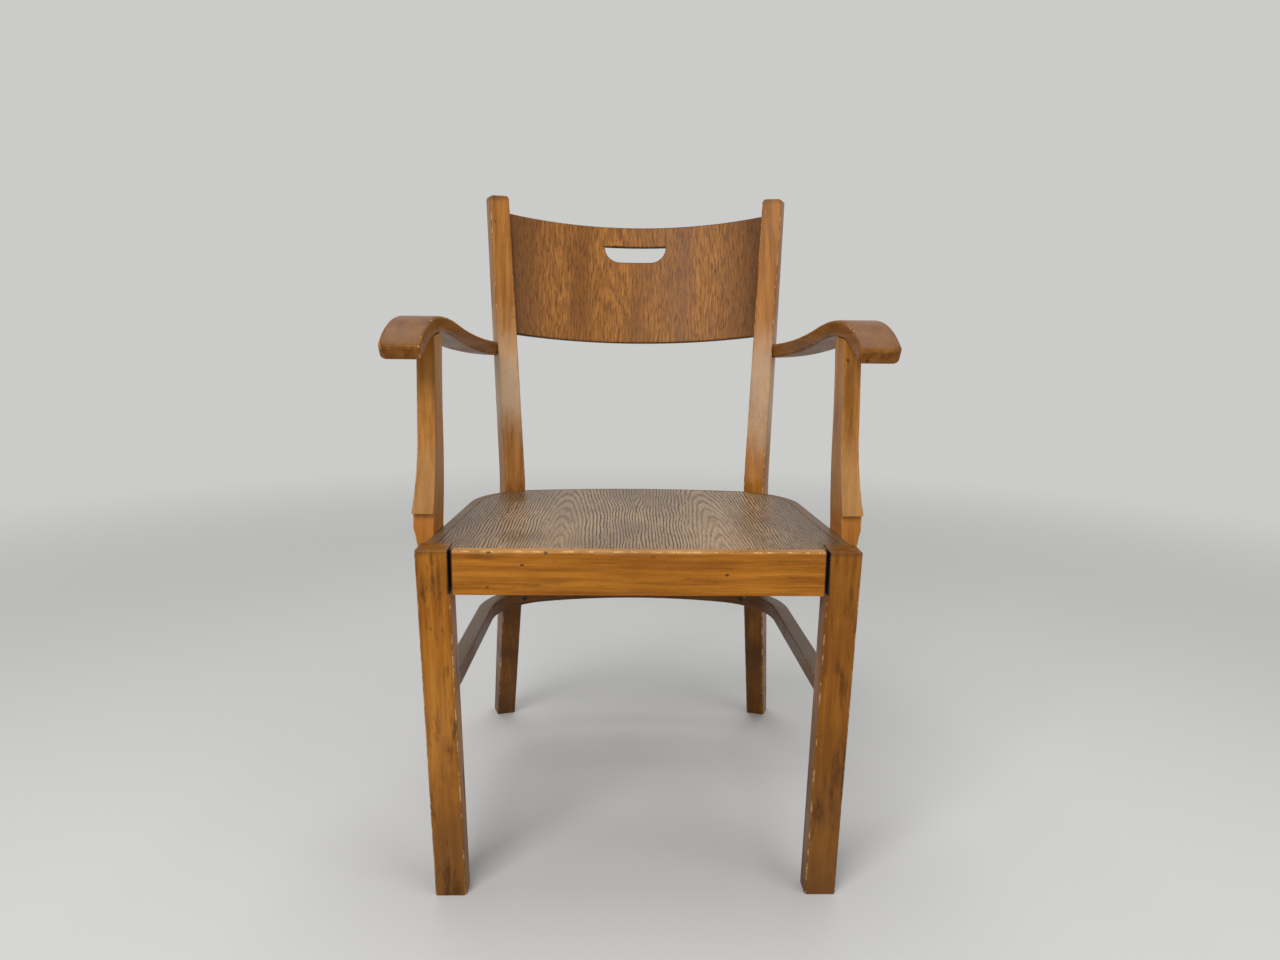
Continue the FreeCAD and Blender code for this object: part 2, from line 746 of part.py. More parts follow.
def make_backrest(bench):
    """Bent backrest with its hand slot, wider than the space between the posts."""
    back = bench.body("back")
    radius, thickness = bench["back_radius"], bench["back_thickness"]
    half = bench["back_half_blank"]
    depth = bench.derive("back_end_depth", root(radius * radius - half * half))
    swell = bench.derive("back_swell", (radius + thickness) / radius)
    plan = bench.sketch(back, "XY_Plane", "back_plan")
    bench.outline(plan, [
        (-half, depth - radius),
        (half, depth - radius),
        (half * swell, depth * swell - radius),
        (-half * swell, depth * swell - radius),
    ], {0: (radius, -1), 2: (radius + thickness, 1)})
    bench.pad(back, plan, bench["back_height"], middle=True)
    high = bench["back_height"] / 2 - bench["slot_below_top"]
    low, across = high - bench["slot_height"], bench["slot_width"] / 2
    corner = bench["slot_corner"]
    slot = bench.sketch(back, "XZ_Plane", "back_slot")
    bench.outline(slot, [
        (-across, high),
        (-across, low + corner),
        (corner - across, low),
        (across - corner, low),
        (across, low + corner),
        (across, high),
    ], {1: (corner, 1), 3: (corner, 1)})
    bench.pocket(back, slot, half, middle=True)

    def is_rim(edge):
        height = edge.BoundBox.ZMax - edge.BoundBox.ZMin
        return height < bench["slot_height"].value + 0.1 and not is_across(edge)

    bench.round_edges(back, "back_rim", bench["back_round"], is_rim)
    lean = bench["back_lean"]
    along = bench["back_y"] - bench["half_depth"]
    back.Placement = Placement(Vector(0, along.value, bench["back_z"].value),
                               Rotation(Vector(-1, 0, 0), lean.value))
    back.setExpression("Placement.Base.y", along.formula)
    back.setExpression("Placement.Base.z", bench["back_z"].formula)
    back.setExpression("Placement.Rotation.Angle", lean.formula)
    return back


def is_across(edge):
    """True for an edge that runs through the thickness of the backrest."""
    return is_open(edge) and edge.Length < 15 and abs(edge_way(edge).z) < 0.1


def make_arm(bench, label, finished):
    """Armrest: nose, crest and sweep; unfinished, it is the bent strip before it is sawn."""
    arm = bench.body(label)
    thick = bench["arm_thickness"]
    crest, crest_height = bench["arm_crest"], bench["arm_crest_height"]
    run, drop = crest - bench["arm_nose"], bench["arm_nose_drop"]
    nose = bench.derive(f"{label}_nose_radius", (run * run + drop * drop) / (drop * 2))
    inner = bench.derive(f"{label}_nose_scale", (nose - thick) / nose)
    fall, length = bench["arm_fall_radius"], bench["arm_fall_length"]
    fall_depth = bench.derive(f"{label}_fall_depth", root(fall * fall - length * length))
    fall_scale = (fall - thick) / fall
    sweep = bench["arm_sweep_radius"]
    end = bench["arm_end"] + MARGIN / 3
    centre_y = bench.derive(f"{label}_sweep_y", crest + length + length * sweep / fall)
    centre_z = bench.derive(
        f"{label}_sweep_z", crest_height - fall + fall_depth + fall_depth * sweep / fall)
    reach = bench.derive(f"{label}_sweep_reach", end - centre_y)
    low_sweep = sweep + thick
    side = bench.sketch(arm, "YZ_Plane", f"{label}_side")
    bench.outline(side, [
        (bench["arm_nose"], crest_height - drop),
        (crest - run * inner, crest_height - nose + (nose - drop) * inner),
        (crest, crest_height - thick),
        (crest + length * fall_scale, crest_height - fall + fall_depth * fall_scale),
        (end, centre_z - root(low_sweep * low_sweep - reach * reach)),
        (end, centre_z - root(sweep * sweep - reach * reach)),
        (crest + length, crest_height - fall + fall_depth),
        (crest, crest_height),
    ], {
        1: (nose - thick, -1),
        2: (fall - thick, -1),
        3: (low_sweep, 1),
        5: (sweep, -1),
        6: (fall, 1),
        7: (nose, 1),
    })
    bench.pad(arm, side, bench["arm_outer"] * 3, middle=True)
    bench.place(arm)
    if not finished:
        return arm
    front, back = as_size(-MARGIN), bench["arm_end"]
    outer, outer_radius = bench["arm_outer"], bench["arm_outer_radius"]
    apex, inner_apex = bench["arm_outer_apex"], -bench["arm_inner_apex"]
    inner_radius = bench["arm_inner_radius"]

    def inside(y):
        off = y - inner_apex
        return bench["arm_inner"] - inner_radius + root(inner_radius * inner_radius - off * off)

    off = back - apex
    outer_back = outer - outer_radius + root(outer_radius * outer_radius - off * off)
    bench.saw(arm, "XY_Plane", f"{label}_plan", [
        (-inside(front), front),
        (-inside(back), back),
        (-outer_back, back),
        (-outer, apex),
        (-outer, front),
    ], bench["arm_end"] * 2, {0: (inner_radius, -1), 2: (outer_radius, 1)})
    bench.round_edges(arm, f"{label}_nose_corner", bench["arm_nose_corner"],
                      lambda edge: is_upright(edge) and edge.BoundBox.XMax < -outer.value + 1
                      and edge.BoundBox.YMax < crest.value)
    bench.round_edges(arm, f"{label}_round", bench["arm_round"],
                      lambda edge: edge.BoundBox.YMin < back.value - 0.5)
    return arm


def make_arm_post(bench):
    """Upright of the arm, lapped over the side of the seat ring."""
    post = bench.body("upright")
    floor, top = bench["ring_floor"], bench["arm_crest_height"] - bench["arm_thickness"] / 2
    shoulder, neck, hip = bench["arm_post_shoulder"], bench["arm_post_neck"], bench["arm_post_hip"]
    front, back = bench["arm_post_front"], bench["arm_post_back"]
    lap, inward = bench["arm_post_lap"], bench["arm_post_lean_in"]
    face = bench.sketch(post, "XZ_Plane", "upright_face")
    bench.outline(face, [
        (bench["arm_post_foot_taper"] - lap, floor),
        (0, floor),
        (0, hip),
        (inward, neck),
        (inward, top),
        (inward - bench["arm_post_top_thickness"], top),
        (inward - bench["arm_post_top_thickness"], neck),
        (-lap, shoulder),
        (-lap, hip),
    ], {2: (bench["arm_post_inner_curve"], 1), 6: (bench["arm_post_outer_curve"], -1)})
    bench.pad(post, face, back * 4, middle=True)
    bench.saw(post, "YZ_Plane", "upright_side", [
        (front + bench["arm_post_step"], floor),
        (back, floor),
        (back, hip),
        (bench["arm_post_top_back"], top),
        (bench["arm_post_top_front"], top),
        (front, shoulder),
        (front + bench["arm_post_step"], shoulder),
    ], top * 1.2, {2: (bench["arm_post_hollow_radius"], -1)})
    bench.round_edges(post, "upright_round", bench["arm_post_round"],
                      lambda edge: is_upright(edge) and edge.BoundBox.XMax < -3)
    bench.place(post, -bench["ring_half_width"], bench["leg_depth"], 0,
                -bench["ring_side_angle"])
    return post


def make_hoop(bench, outer, inner):
    """Bent hoop between the front legs, below the seat."""
    hoop = bench.body("hoop")
    start = bench["foot_depth"] / 2
    plan = bench.sketch(hoop, "XY_Plane", "hoop_plan", bench["hoop_top"] - bench["hoop_height"])
    draw_u(bench, plan, outer, inner, start)
    bench.pad(hoop, plan, bench["hoop_height"])
    bench.round_edges(hoop, "hoop_edges", bench["hoop_round"],
                      lambda edge: not is_upright(edge)
                      and edge.BoundBox.YMax > start.value + 1)
    bench.place(hoop)
    return hoop


def make_block(bench):
    """Three-sided block in the corner behind the front rail."""
    block = bench.body("block")
    reach = bench["block_reach"]
    x, y = -bench["leg_inner_top"] - bench["rail_gap"] * 3, bench["rail_thickness"]
    plan = bench.sketch(block, "XY_Plane", "block_plan",
                        bench["panel_floor"] - bench["block_drop"] - bench["block_height"])
    bench.outline(plan, [(x, y), (x + reach, y), (x, y + reach)])
    bench.pad(block, plan, bench["block_height"])
    bench.place(block)
    return block


def make_screw(bench, label, length, drill=False):
    """Countersunk screw along Y, its head at the origin; a drill also clears the way to it."""
    screw = bench.body(label)
    head, shank = bench["screw_head_radius"], bench["screw_radius"]
    deep = bench["screw_head_height"]
    out = -bench["counterbore"] * 20 if drill else as_size(0)
    profile = bench.sketch(screw, "XY_Plane", f"{label}_profile")
    corners = [(0, out), (head, out)]
    if drill:
        corners.append((head, 0))
    corners += [(shank, deep), (shank, length - bench["screw_point"]), (0, length)]
    bench.outline(profile, corners)
    turn = screw.newObject("PartDesign::Revolution", f"{label}_turned")
    turn.Profile = profile
    turn.ReferenceAxis = (profile, ["V_Axis"])
    turn.Angle = 360
    profile.Visibility = False
    bench.doc.recompute()
    if not drill:
        slot = bench.sketch(screw, "XZ_Plane", f"{label}_slot")
        half = bench["screw_slot"] / 2
        bench.box(slot, -head * 1.2, -half, head * 1.2, half)
        bench.pocket(screw, slot, bench["screw_slot_depth"], reverse=False)
    return screw


def make_screws(bench, name, length, places):
    """Make both sides' screws and the drills for the left side from their places."""
    screws, drills = [], []
    for number, place in enumerate(places, start=1):
        screw = make_screw(bench, f"{name}_{number}", length)
        bench.place(screw, *place)
        drill = make_screw(bench, f"{name}_drill_{number}", length, drill=True)
        bench.place(drill, *place)
        screws += [screw, bench.mirror(screw, f"{name}_twin_{number}")]
        drills.append(drill)
    group = bench.keep(bench.group(screws, name), name)
    left = bench.group(drills, f"{name}_drills") if len(drills) > 1 else drills[0]
    return group, left, bench.mirror(left, f"{name}_drills_twin")


def make_dowels(bench, name, place, turned):
    """Make a pair of dowels, upright or along Y, centred on a place at the left."""
    x, y, z = place
    radius, length = bench["dowel_radius"], bench["dowel_length"]
    dowel = bench.doc.addObject("Part::Cylinder", f"{name}_left")
    dowel.Radius = radius.value
    dowel.setExpression("Radius", radius.formula)
    dowel.Height = length.value
    dowel.setExpression("Height", length.formula)
    y = y - bench["half_depth"]
    turn = Rotation()
    if turned:
        y = y - length / 2
        turn = Rotation(Vector(1, 0, 0), -90)
    else:
        z = z - length / 2
    dowel.Placement = Placement(Vector(x.value, y.value, z.value), turn)
    dowel.setExpression("Placement.Base.x", x.formula)
    dowel.setExpression("Placement.Base.y", y.formula)
    dowel.setExpression("Placement.Base.z", z.formula)
    bench.doc.recompute()
    twin = bench.mirror(dowel, f"{name}_right")
    bench.keep(bench.group([dowel, twin], name), name)
    return dowel, twin


def make_fixings(bench):
    """Make the screws and dowels and return the drills and dowels that cut the wood."""
    post_turn, side_turn = bench["post_turn_angle"], -bench["ring_side_angle"]
    ring_middle = bench["ring_floor"] + (bench["ring_height"] - bench["panel_thickness"]) / 2
    tools = {}

    x, y = spot(-bench["post_half_span"], bench["post_front"], post_turn,
                bench["post_width"] / 2, bench["counterbore"] - bench["ring_thickness"]
                + bench["panel_back_rim"])
    spread = bench["ring_screw_spread"] / 2
    tools["ring_post"] = make_screws(
        bench, "ring_post_screws", bench["ring_screw_length"],
        [(x, y, ring_middle - spread, post_turn), (x, y, ring_middle + spread, post_turn)])

    places = []
    middle = (bench["arm_post_front"] + bench["arm_post_step"] + bench["arm_post_back"]) / 2
    for side in (-1, 1):
        x, y = spot(-bench["ring_half_width"], bench["leg_depth"], side_turn,
                    bench["ring_thickness"] - bench["counterbore"],
                    middle + bench["lap_screw_spread"] * side / 2)
        places.append((x, y, ring_middle, side_turn + 90))
    tools["arm_post"] = make_screws(
        bench, "arm_post_screws", bench["lap_screw_length"], places)

    angle = bench["hoop_screw_angle"]
    reach = bench["hoop_inner_corner"] + bench["counterbore"]
    tools["hoop_post"] = make_screws(
        bench, "hoop_rear_screws", bench["hoop_screw_length"],
        [(bench["hoop_outer_centre_x"] - sine(angle) * reach,
          bench["hoop_outer_centre_y"] + cosine(angle) * reach,
          bench["hoop_top"] - bench["hoop_height"] / 2, angle)])

    y = bench["arm_end"] - bench["arm_screw_from_end"]
    off = y - bench["arm_outer_apex"]
    radius = bench["arm_outer_radius"]
    x = radius - bench["arm_outer"] - root(radius * radius - off * off)
    reach = bench["arm_sweep_radius"] + bench["arm_thickness"] / 2
    off = y - bench["arm_left_sweep_y"]
    z = bench["arm_left_sweep_z"] - root(reach * reach - off * off)
    tools["arm_rear"] = make_screws(
        bench, "arm_rear_screws", bench["arm_screw_length"],
        [(x + bench["counterbore"], y, z, post_turn - 90)])

    half = bench["block_reach"] / 2
    x = half - bench["leg_inner_top"] - bench["rail_gap"] * 3 - bench["counterbore"]
    y = half + bench["rail_thickness"] - bench["counterbore"]
    z = bench["panel_floor"] - bench["block_drop"] - bench["block_height"] / 2
    tools["block"] = make_screws(
        bench, "corner_block_screws", bench["block_screw_length"], [(x, y, z, bench["block_screw_angle"])])

    x, y = spot(-bench["ring_half_width"], bench["leg_depth"], side_turn,
                bench["arm_post_lean_in"] - bench["arm_post_top_thickness"] / 2,
                (bench["arm_post_top_front"] + bench["arm_post_top_back"]) / 2)
    z = bench["arm_crest_height"] - bench["arm_thickness"]
    tools["arm_front"] = make_dowels(bench, "arm_front_dowels", (x, y, z), False)

    x = bench["hoop_thickness"] / 2 - bench["hoop_half_width"]
    z = bench["hoop_top"] - bench["hoop_height"] / 2
    y = bench["foot_depth"] - bench["foot_forward"] + (
        bench["leg_depth"] - bench["foot_depth"] + bench["foot_forward"]) * z / bench["rail_floor"]
    tools["hoop_front"] = make_dowels(bench, "hoop_front_dowels", (x, y, z), True)
    return tools


def make_chair(bench):
    """Make every piece of the chair."""
    derive_shared(bench)
    angle = bench["ring_side_angle"]
    ring_outer = Bend(bench, "ring_outer", bench["ring_half_width"], bench["leg_depth"], angle,
                      bench["ring_corner_radius"], bench["ring_back_radius"], bench["ring_back"])
    ring_inner = ring_outer.inset("ring_inner", bench["ring_thickness"])
    panel_half = bench["ring_half_width"] - bench["panel_rim"] / cosine(angle)
    gap, rim = bench["seam_gap"], bench["panel_back_rim"]
    rebate = Bend(bench, "rebate", panel_half, bench["leg_depth"], angle,
                  bench["panel_corner_radius"], bench["ring_back_radius"] - rim,
                  bench["ring_back"] - rim)
    panel_bend = rebate.inset("panel", gap)
    hoop_outer = Bend(bench, "hoop_outer", bench["hoop_half_width"], bench["leg_depth"],
                      bench["hoop_side_angle"], bench["hoop_corner_radius"],
                      bench["hoop_back_radius"], bench["hoop_back"])
    hoop_inner = hoop_outer.inset("hoop_inner", bench["hoop_thickness"])
    bench.doc.recompute()

    leg_blank = make_front_leg(bench, "leg_blank", False)
    leg_blanks = leg_blank, bench.mirror(leg_blank, "leg_blank_right")
    post_blank = make_rear_post(bench, "post_blank", False)
    post_blanks = post_blank, bench.mirror(post_blank, "post_blank_right")
    arm_strip = make_arm(bench, "arm_strip", False)
    arm_body = make_arm(bench, "arm_left", True)
    tools = make_fixings(bench)

    leg = make_front_leg(bench, "leg", True)
    leg = bench.cut(leg, [tools["hoop_front"][0], tools["block"][1]], "leg")
    bench.keep(leg, "front_leg_left")
    bench.keep(bench.mirror(leg, "leg_right"), "front_leg_right")

    bench.keep(make_front_rail(bench), "front_rail")

    housing = make_housing(bench)
    ring = make_seat_ring(bench, ring_outer, ring_inner, rebate)
    ring = bench.cut(ring, [housing, bench.mirror(housing, "housing_right"),
                            *tools["ring_post"][1:], *tools["arm_post"][1:]], "ring")
    bench.keep(ring, "seat_ring")

    bench.keep(make_seat_panel(bench, panel_bend), "seat_panel")

    back = make_backrest(bench)
    ends = make_rear_post(bench, "tongue_limit", False, bench["back_tongue"])
    back = bench.cut(back, [ends, bench.mirror(ends, "tongue_limit_right")], "back")
    bench.keep(back, "backrest_panel")

    post = make_rear_post(bench, "post", True)
    post = bench.cut(post, [back, tools["ring_post"][1], tools["hoop_post"][1],
                            tools["arm_rear"][1]], "post")
    bench.keep(post, "rear_post_left")
    bench.keep(bench.mirror(post, "post_right"), "rear_post_right")

    hoop = bench.cut(make_hoop(bench, hoop_outer, hoop_inner),
                     [*leg_blanks, *post_blanks, *tools["hoop_post"][1:], *tools["hoop_front"]],
                     "hoop")
    bench.keep(hoop, "under_hoop")

    upright = bench.cut(make_arm_post(bench), [arm_strip, tools["arm_front"][0],
                                               tools["arm_post"][1]], "upright")
    bench.keep(upright, "arm_post_left")
    bench.keep(bench.mirror(upright, "upright_right"), "arm_post_right")

    arm = bench.cut(arm_body, [post_blank, tools["arm_front"][0], tools["arm_rear"][1]], "arm")
    bench.keep(arm, "armrest_left")
    bench.keep(bench.mirror(arm, "arm_right"), "armrest_right")

    block = bench.cut(make_block(bench), [leg_blank, ring, tools["block"][1]], "block")
    bench.keep(block, "corner_block_left")
    bench.keep(bench.mirror(block, "block_right"), "corner_block_right")


def check_and_export(bench):
    """Stop at any piece that is in error or not sound, then write each to its own file."""
    bench.doc.recompute()
    for thing in bench.doc.Objects:
        if "Invalid" in thing.State or "Error" in thing.State:
            raise RuntimeError(f"{thing.Name} is in error")
    os.makedirs("parts", exist_ok=True)
    for node in bench.nodes:
        shape = node.Shape
        if shape.isNull() or not shape.isValid() or not shape.Solids:
            raise RuntimeError(f"{node.Label} is not a sound solid")
        shape.exportStep(f"parts/{node.Label}.step")
        print(node.Label, len(shape.Solids), round(shape.Volume))


def main():
    """Build the chair and write its pieces."""
    bench = Bench()
    make_chair(bench)
    check_and_export(bench)


main()
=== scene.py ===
"""A worn captains chair: honey beech frame, dark veneered seat and bent backrest."""

import logging
import math
from dataclasses import dataclass, field
from enum import Enum

import bmesh
import bpy
from mathutils import Euler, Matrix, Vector

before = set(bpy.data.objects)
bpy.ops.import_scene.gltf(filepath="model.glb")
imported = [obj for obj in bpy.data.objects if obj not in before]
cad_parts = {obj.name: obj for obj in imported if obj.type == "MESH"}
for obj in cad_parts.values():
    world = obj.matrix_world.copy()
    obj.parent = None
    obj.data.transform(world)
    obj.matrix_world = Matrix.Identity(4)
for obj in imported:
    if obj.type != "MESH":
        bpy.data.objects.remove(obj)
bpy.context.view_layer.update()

logging.basicConfig(level=logging.INFO, format="%(message)s")
LOG = logging.getLogger("chair")

NOISE_MEAN = 0.5

Triple = tuple[float, float, float]
Colour = Triple
Socket = bpy.types.NodeSocket
Value = Socket | float

EVEN: Triple = (1.0, 1.0, 1.0)
SIDEWAYS: Triple = (1.0, 0.0, 0.0)
UP: Triple = (0.0, 0.0, 1.0)


class Run(Enum):
    """The way in which the grain runs along a piece."""

    UPRIGHT = "upright"
    ACROSS = "across"
    FRONT_TO_BACK = "front to back"
    BENT = "bent"


@dataclass(frozen=True)
class Noise:
    """An irregular pattern: how fine, how many layers, how strong the finer ones are."""

    scale: float
    detail: float = 4.0
    roughness: float = 0.55
    stretch: Triple = EVEN


@dataclass(frozen=True)
class Ramp:
    """A smooth rise from weak, at and below low, to strong, at and above high."""

    low: float
    high: float
    weak: float = 0.0
    strong: float = 1.0


@dataclass(frozen=True)
class Relief:
    """How clearly a pattern stands out of a surface, and how high, in metres."""

    strength: float
    height: float


class Graph:
    """The nodes of one material or node group, with short ways to add and link them."""

    def __init__(self, tree: bpy.types.NodeTree) -> None:
        """Take over the tree to fill."""
        self.tree = tree

    def node(self, kind: str, **settings: object) -> bpy.types.Node:
        """Add a node.

        Args:
            kind: Blender's name of the node's type, without "ShaderNode".
            settings: Properties to set on it.

        Returns:
            The new node.
        """
        node = self.tree.nodes.new(kind if kind.startswith("Node") else f"ShaderNode{kind}")
        for name, value in settings.items():
            setattr(node, name, value)
        return node

    def feed(self, socket: Socket, value: Value | Triple) -> None:
        """Link a socket to an input, or set the input to a constant.

        Args:
            socket: The input.
            value: A socket, a number, a vector or a colour.
        """
        if isinstance(value, bpy.types.NodeSocket):
            self.tree.links.new(value, socket)
        elif isinstance(value, tuple) and socket.type == "RGBA":
            socket.default_value = (*value, 1.0)
        else:
            socket.default_value = value

    def math(self, operation: str, first: Value, second: Value = 0.0,
             clamp: bool = False) -> Socket:
        """Add a Math node.

        Args:
            operation: Its operation.
            first: First number.
            second: Second number, where the operation has one.
            clamp: Whether the result is held between 0 and 1.

        Returns:
            The result.
        """
        node = self.node("Math", operation=operation, use_clamp=clamp)
        self.feed(node.inputs[0], first)
        self.feed(node.inputs[1], second)
        return node.outputs[0]

    def times(self, first: Value, second: Value) -> Socket:
        """Multiply two numbers."""
        return self.math("MULTIPLY", first, second)

    def plus(self, value: Value, part: Socket, share: float) -> Socket:
        """Add a share of one number to another."""
        return self.math("ADD", value, self.times(part, share))

    def slant(self, first: Value, second: Value) -> Socket:
        """Measure the slanting side over two sides at a right angle.

        Args:
            first: One side.
            second: The other side.

        Returns:
            The slanting side.
        """
        squares = self.math("ADD", self.math("POWER", first, 2.0),
                            self.math("POWER", second, 2.0))
        return self.math("SQRT", squares)

    def span(self, value: Value, ramp: Ramp) -> Socket:
        """Turn a value into the height of a ramp.

        Args:
            value: The value.
            ramp: The ramp.

        Returns:
            The height.
        """
        node = self.node("MapRange", interpolation_type="SMOOTHSTEP")
        self.feed(node.inputs["Value"], value)
        self.feed(node.inputs["From Min"], ramp.low)
        self.feed(node.inputs["From Max"], ramp.high)
        self.feed(node.inputs["To Min"], ramp.weak)
        self.feed(node.inputs["To Max"], ramp.strong)
        return node.outputs["Result"]

    def mix(self, factor: Value, first: Socket | Colour, second: Socket | Colour) -> Socket:
        """Mix two colours.

        Args:
            factor: Share of the second.
            first: First colour.
            second: Second colour.

        Returns:
            The mixed colour.
        """
        node = self.node("Mix", data_type="RGBA")
        self.feed(node.inputs[0], factor)
        self.feed(node.inputs[6], first)
        self.feed(node.inputs[7], second)
        return node.outputs[2]

    def stain(self, colour: Socket, mask: Socket, share: float,
              stain: Socket | Colour) -> Socket:
        """Stain a colour where a mask is.

        Args:
            colour: The colour.
            mask: The mask.
            share: How much of the stain covers the colour where the mask is 1.
            stain: Colour of the stain.

        Returns:
            The stained colour.
        """
        return self.mix(self.times(mask, share), colour, stain)

    def scaled(self, vector: Socket, scale: Triple,
               shift: Triple = (0.0, 0.0, 0.0)) -> Socket:
        """Stretch and shift a vector.

        Args:
            vector: The vector.
            scale: Factor along each axis.
            shift: What is added afterwards.

        Returns:
            The new vector.
        """
        node = self.node("Mapping")
        self.feed(node.inputs["Vector"], vector)
        self.feed(node.inputs["Location"], shift)
        self.feed(node.inputs["Scale"], scale)
        return node.outputs["Vector"]

    def noise(self, place: Socket, pattern: Noise) -> Socket:
        """Add an irregular pattern.

        Args:
            place: Where it is read.
            pattern: The pattern.

        Returns:
            Its value, about 0.5 on average.
        """
        node = self.node("TexNoise")
        if pattern.stretch != EVEN:
            place = self.scaled(place, pattern.stretch)
        self.feed(node.inputs["Vector"], place)
        self.feed(node.inputs["Scale"], pattern.scale)
        self.feed(node.inputs["Detail"], pattern.detail)
        self.feed(node.inputs["Roughness"], pattern.roughness)
        return node.outputs["Fac"]

    def split(self, vector: Socket) -> tuple[Socket, Socket, Socket]:
        """Split a vector.

        Args:
            vector: The vector.

        Returns:
            Its three numbers.
        """
        node = self.node("SeparateXYZ")
        self.feed(node.inputs[0], vector)
        return node.outputs[0], node.outputs[1], node.outputs[2]

    def join(self, x: Value, y: Value, z: Value) -> Socket:
        """Join three numbers.

        Args:
            x: First number.
            y: Second number.
            z: Third number.

        Returns:
            The vector.
        """
        node = self.node("CombineXYZ")
        for number, value in enumerate((x, y, z)):
            self.feed(node.inputs[number], value)
        return node.outputs[0]


class ShaderGroup:
    """A shared effect: a node group with named inputs and outputs."""

    name: str = ""
    inputs: dict[str, tuple[str, float]] = {}
    outputs: dict[str, str] = {}

    def __init__(self) -> None:
        """Build the group once."""
        self.tree = bpy.data.node_groups.new(self.name, "ShaderNodeTree")
        for name, (kind, value) in self.inputs.items():
            socket = self.tree.interface.new_socket(
                name=name, in_out="INPUT", socket_type=f"NodeSocket{kind}")
            if kind == "Float":
                socket.default_value = value
        for name, kind in self.outputs.items():
            self.tree.interface.new_socket(
                name=name, in_out="OUTPUT", socket_type=f"NodeSocket{kind}")
        graph = Graph(self.tree)
        start = graph.node("NodeGroupInput")
        end = graph.node("NodeGroupOutput")
        for name, socket in self.build(graph, start).items():
            graph.feed(end.inputs[name], socket)

    def build(self, graph: Graph, start: bpy.types.Node) -> dict[str, Socket]:
        """Make the group's nodes.

        Args:
            graph: The group's graph.
            start: Its input node.

        Returns:
            The socket for each output.
        """
        raise NotImplementedError

    def place(self, graph: Graph, **values: Value | Triple) -> bpy.types.Node:
        """Place the group in a material.

        Args:
            graph: The material's graph.
            values: A value for each input that differs from its default.

        Returns:
            The group node.
        """
        node = graph.node("Group", node_tree=self.tree)
        for name, value in values.items():
            graph.feed(node.inputs[name.replace("_", " ").capitalize()], value)
        return node


class EdgeWear(ShaderGroup):
    """Mask of the rounded edges where varnish has rubbed off, in broken stretches.

    The axis is the way that the piece's side faces look, so only its rounded edges stand
    half way between along it and across it.
    """

    name = "edge wear"
    inputs = {"Axis": ("Vector", 0.0), "Amount": ("Float", 0.5), "Seed": ("Vector", 0.0)}
    outputs = {"Mask": "Float"}
    half_way: Ramp = Ramp(0.1, 0.22)
    stretches: Noise = Noise(75.0, detail=6.0, roughness=0.75)
    amount_share: float = 0.5
    rubbed: Ramp = Ramp(0.7, 0.8)

    def build(self, graph: Graph, start: bpy.types.Node) -> dict[str, Socket]:
        """Find the normals half way between the axis and the plane across it.

        Args:
            graph: The group's graph.
            start: Its input node.

        Returns:
            The mask.
        """
        dot = graph.node("VectorMath", operation="DOT_PRODUCT")
        graph.feed(dot.inputs[0], graph.node("NewGeometry").outputs["Normal"])
        graph.feed(dot.inputs[1], start.outputs["Axis"])
        square = graph.math("POWER", graph.math("ABSOLUTE", dot.outputs["Value"]), 2.0)
        slope = graph.times(square, graph.math("SUBTRACT", 1.0, square))
        near = graph.span(slope, self.half_way)
        broken = graph.noise(start.outputs["Seed"], self.stretches)
        reach = graph.plus(broken, start.outputs["Amount"], self.amount_share)
        kept = graph.span(reach, self.rubbed)
        return {"Mask": graph.math("MULTIPLY", near, kept, clamp=True)}


class WoodGrain(ShaderGroup):
    """Streaks and fine lines along Z of the vector, and the short flecks of beech."""

    name = "wood grain"
    inputs = {"Vector": ("Vector", 0.0)}
    outputs = {"Streak": "Float", "Line": "Float", "Fleck": "Float"}
    bow: Noise = Noise(6.0, detail=2.0, stretch=(1.0, 1.0, 0.6))
    bow_width: float = 0.02
    streaks: Noise = Noise(95.0, detail=6.0, roughness=0.68, stretch=(1.0, 1.0, 0.05))
    streak_tone: Ramp = Ramp(0.32, 0.68)
    lines: Noise = Noise(520.0, roughness=0.6, stretch=(1.0, 1.0, 0.025))
    line_tone: Ramp = Ramp(0.35, 0.7)
    flecks: Noise = Noise(850.0, detail=1.0, roughness=0.5, stretch=(1.0, 1.0, 0.16))
    fleck_tone: Ramp = Ramp(0.64, 0.76)

    def build(self, graph: Graph, start: bpy.types.Node) -> dict[str, Socket]:
        """Stretch three noises along the grain.

        Args:
            graph: The group's graph.
            start: Its input node.

        Returns:
            The masks of the streaks, lines and flecks.
        """
        place = start.outputs["Vector"]
        x, y, z = graph.split(place)
        bent = graph.join(graph.plus(x, graph.noise(place, self.bow), self.bow_width), y, z)
        return {
            "Streak": graph.span(graph.noise(bent, self.streaks), self.streak_tone),
            "Line": graph.span(graph.noise(bent, self.lines), self.line_tone),
            "Fleck": graph.span(graph.noise(bent, self.flecks), self.fleck_tone),
        }


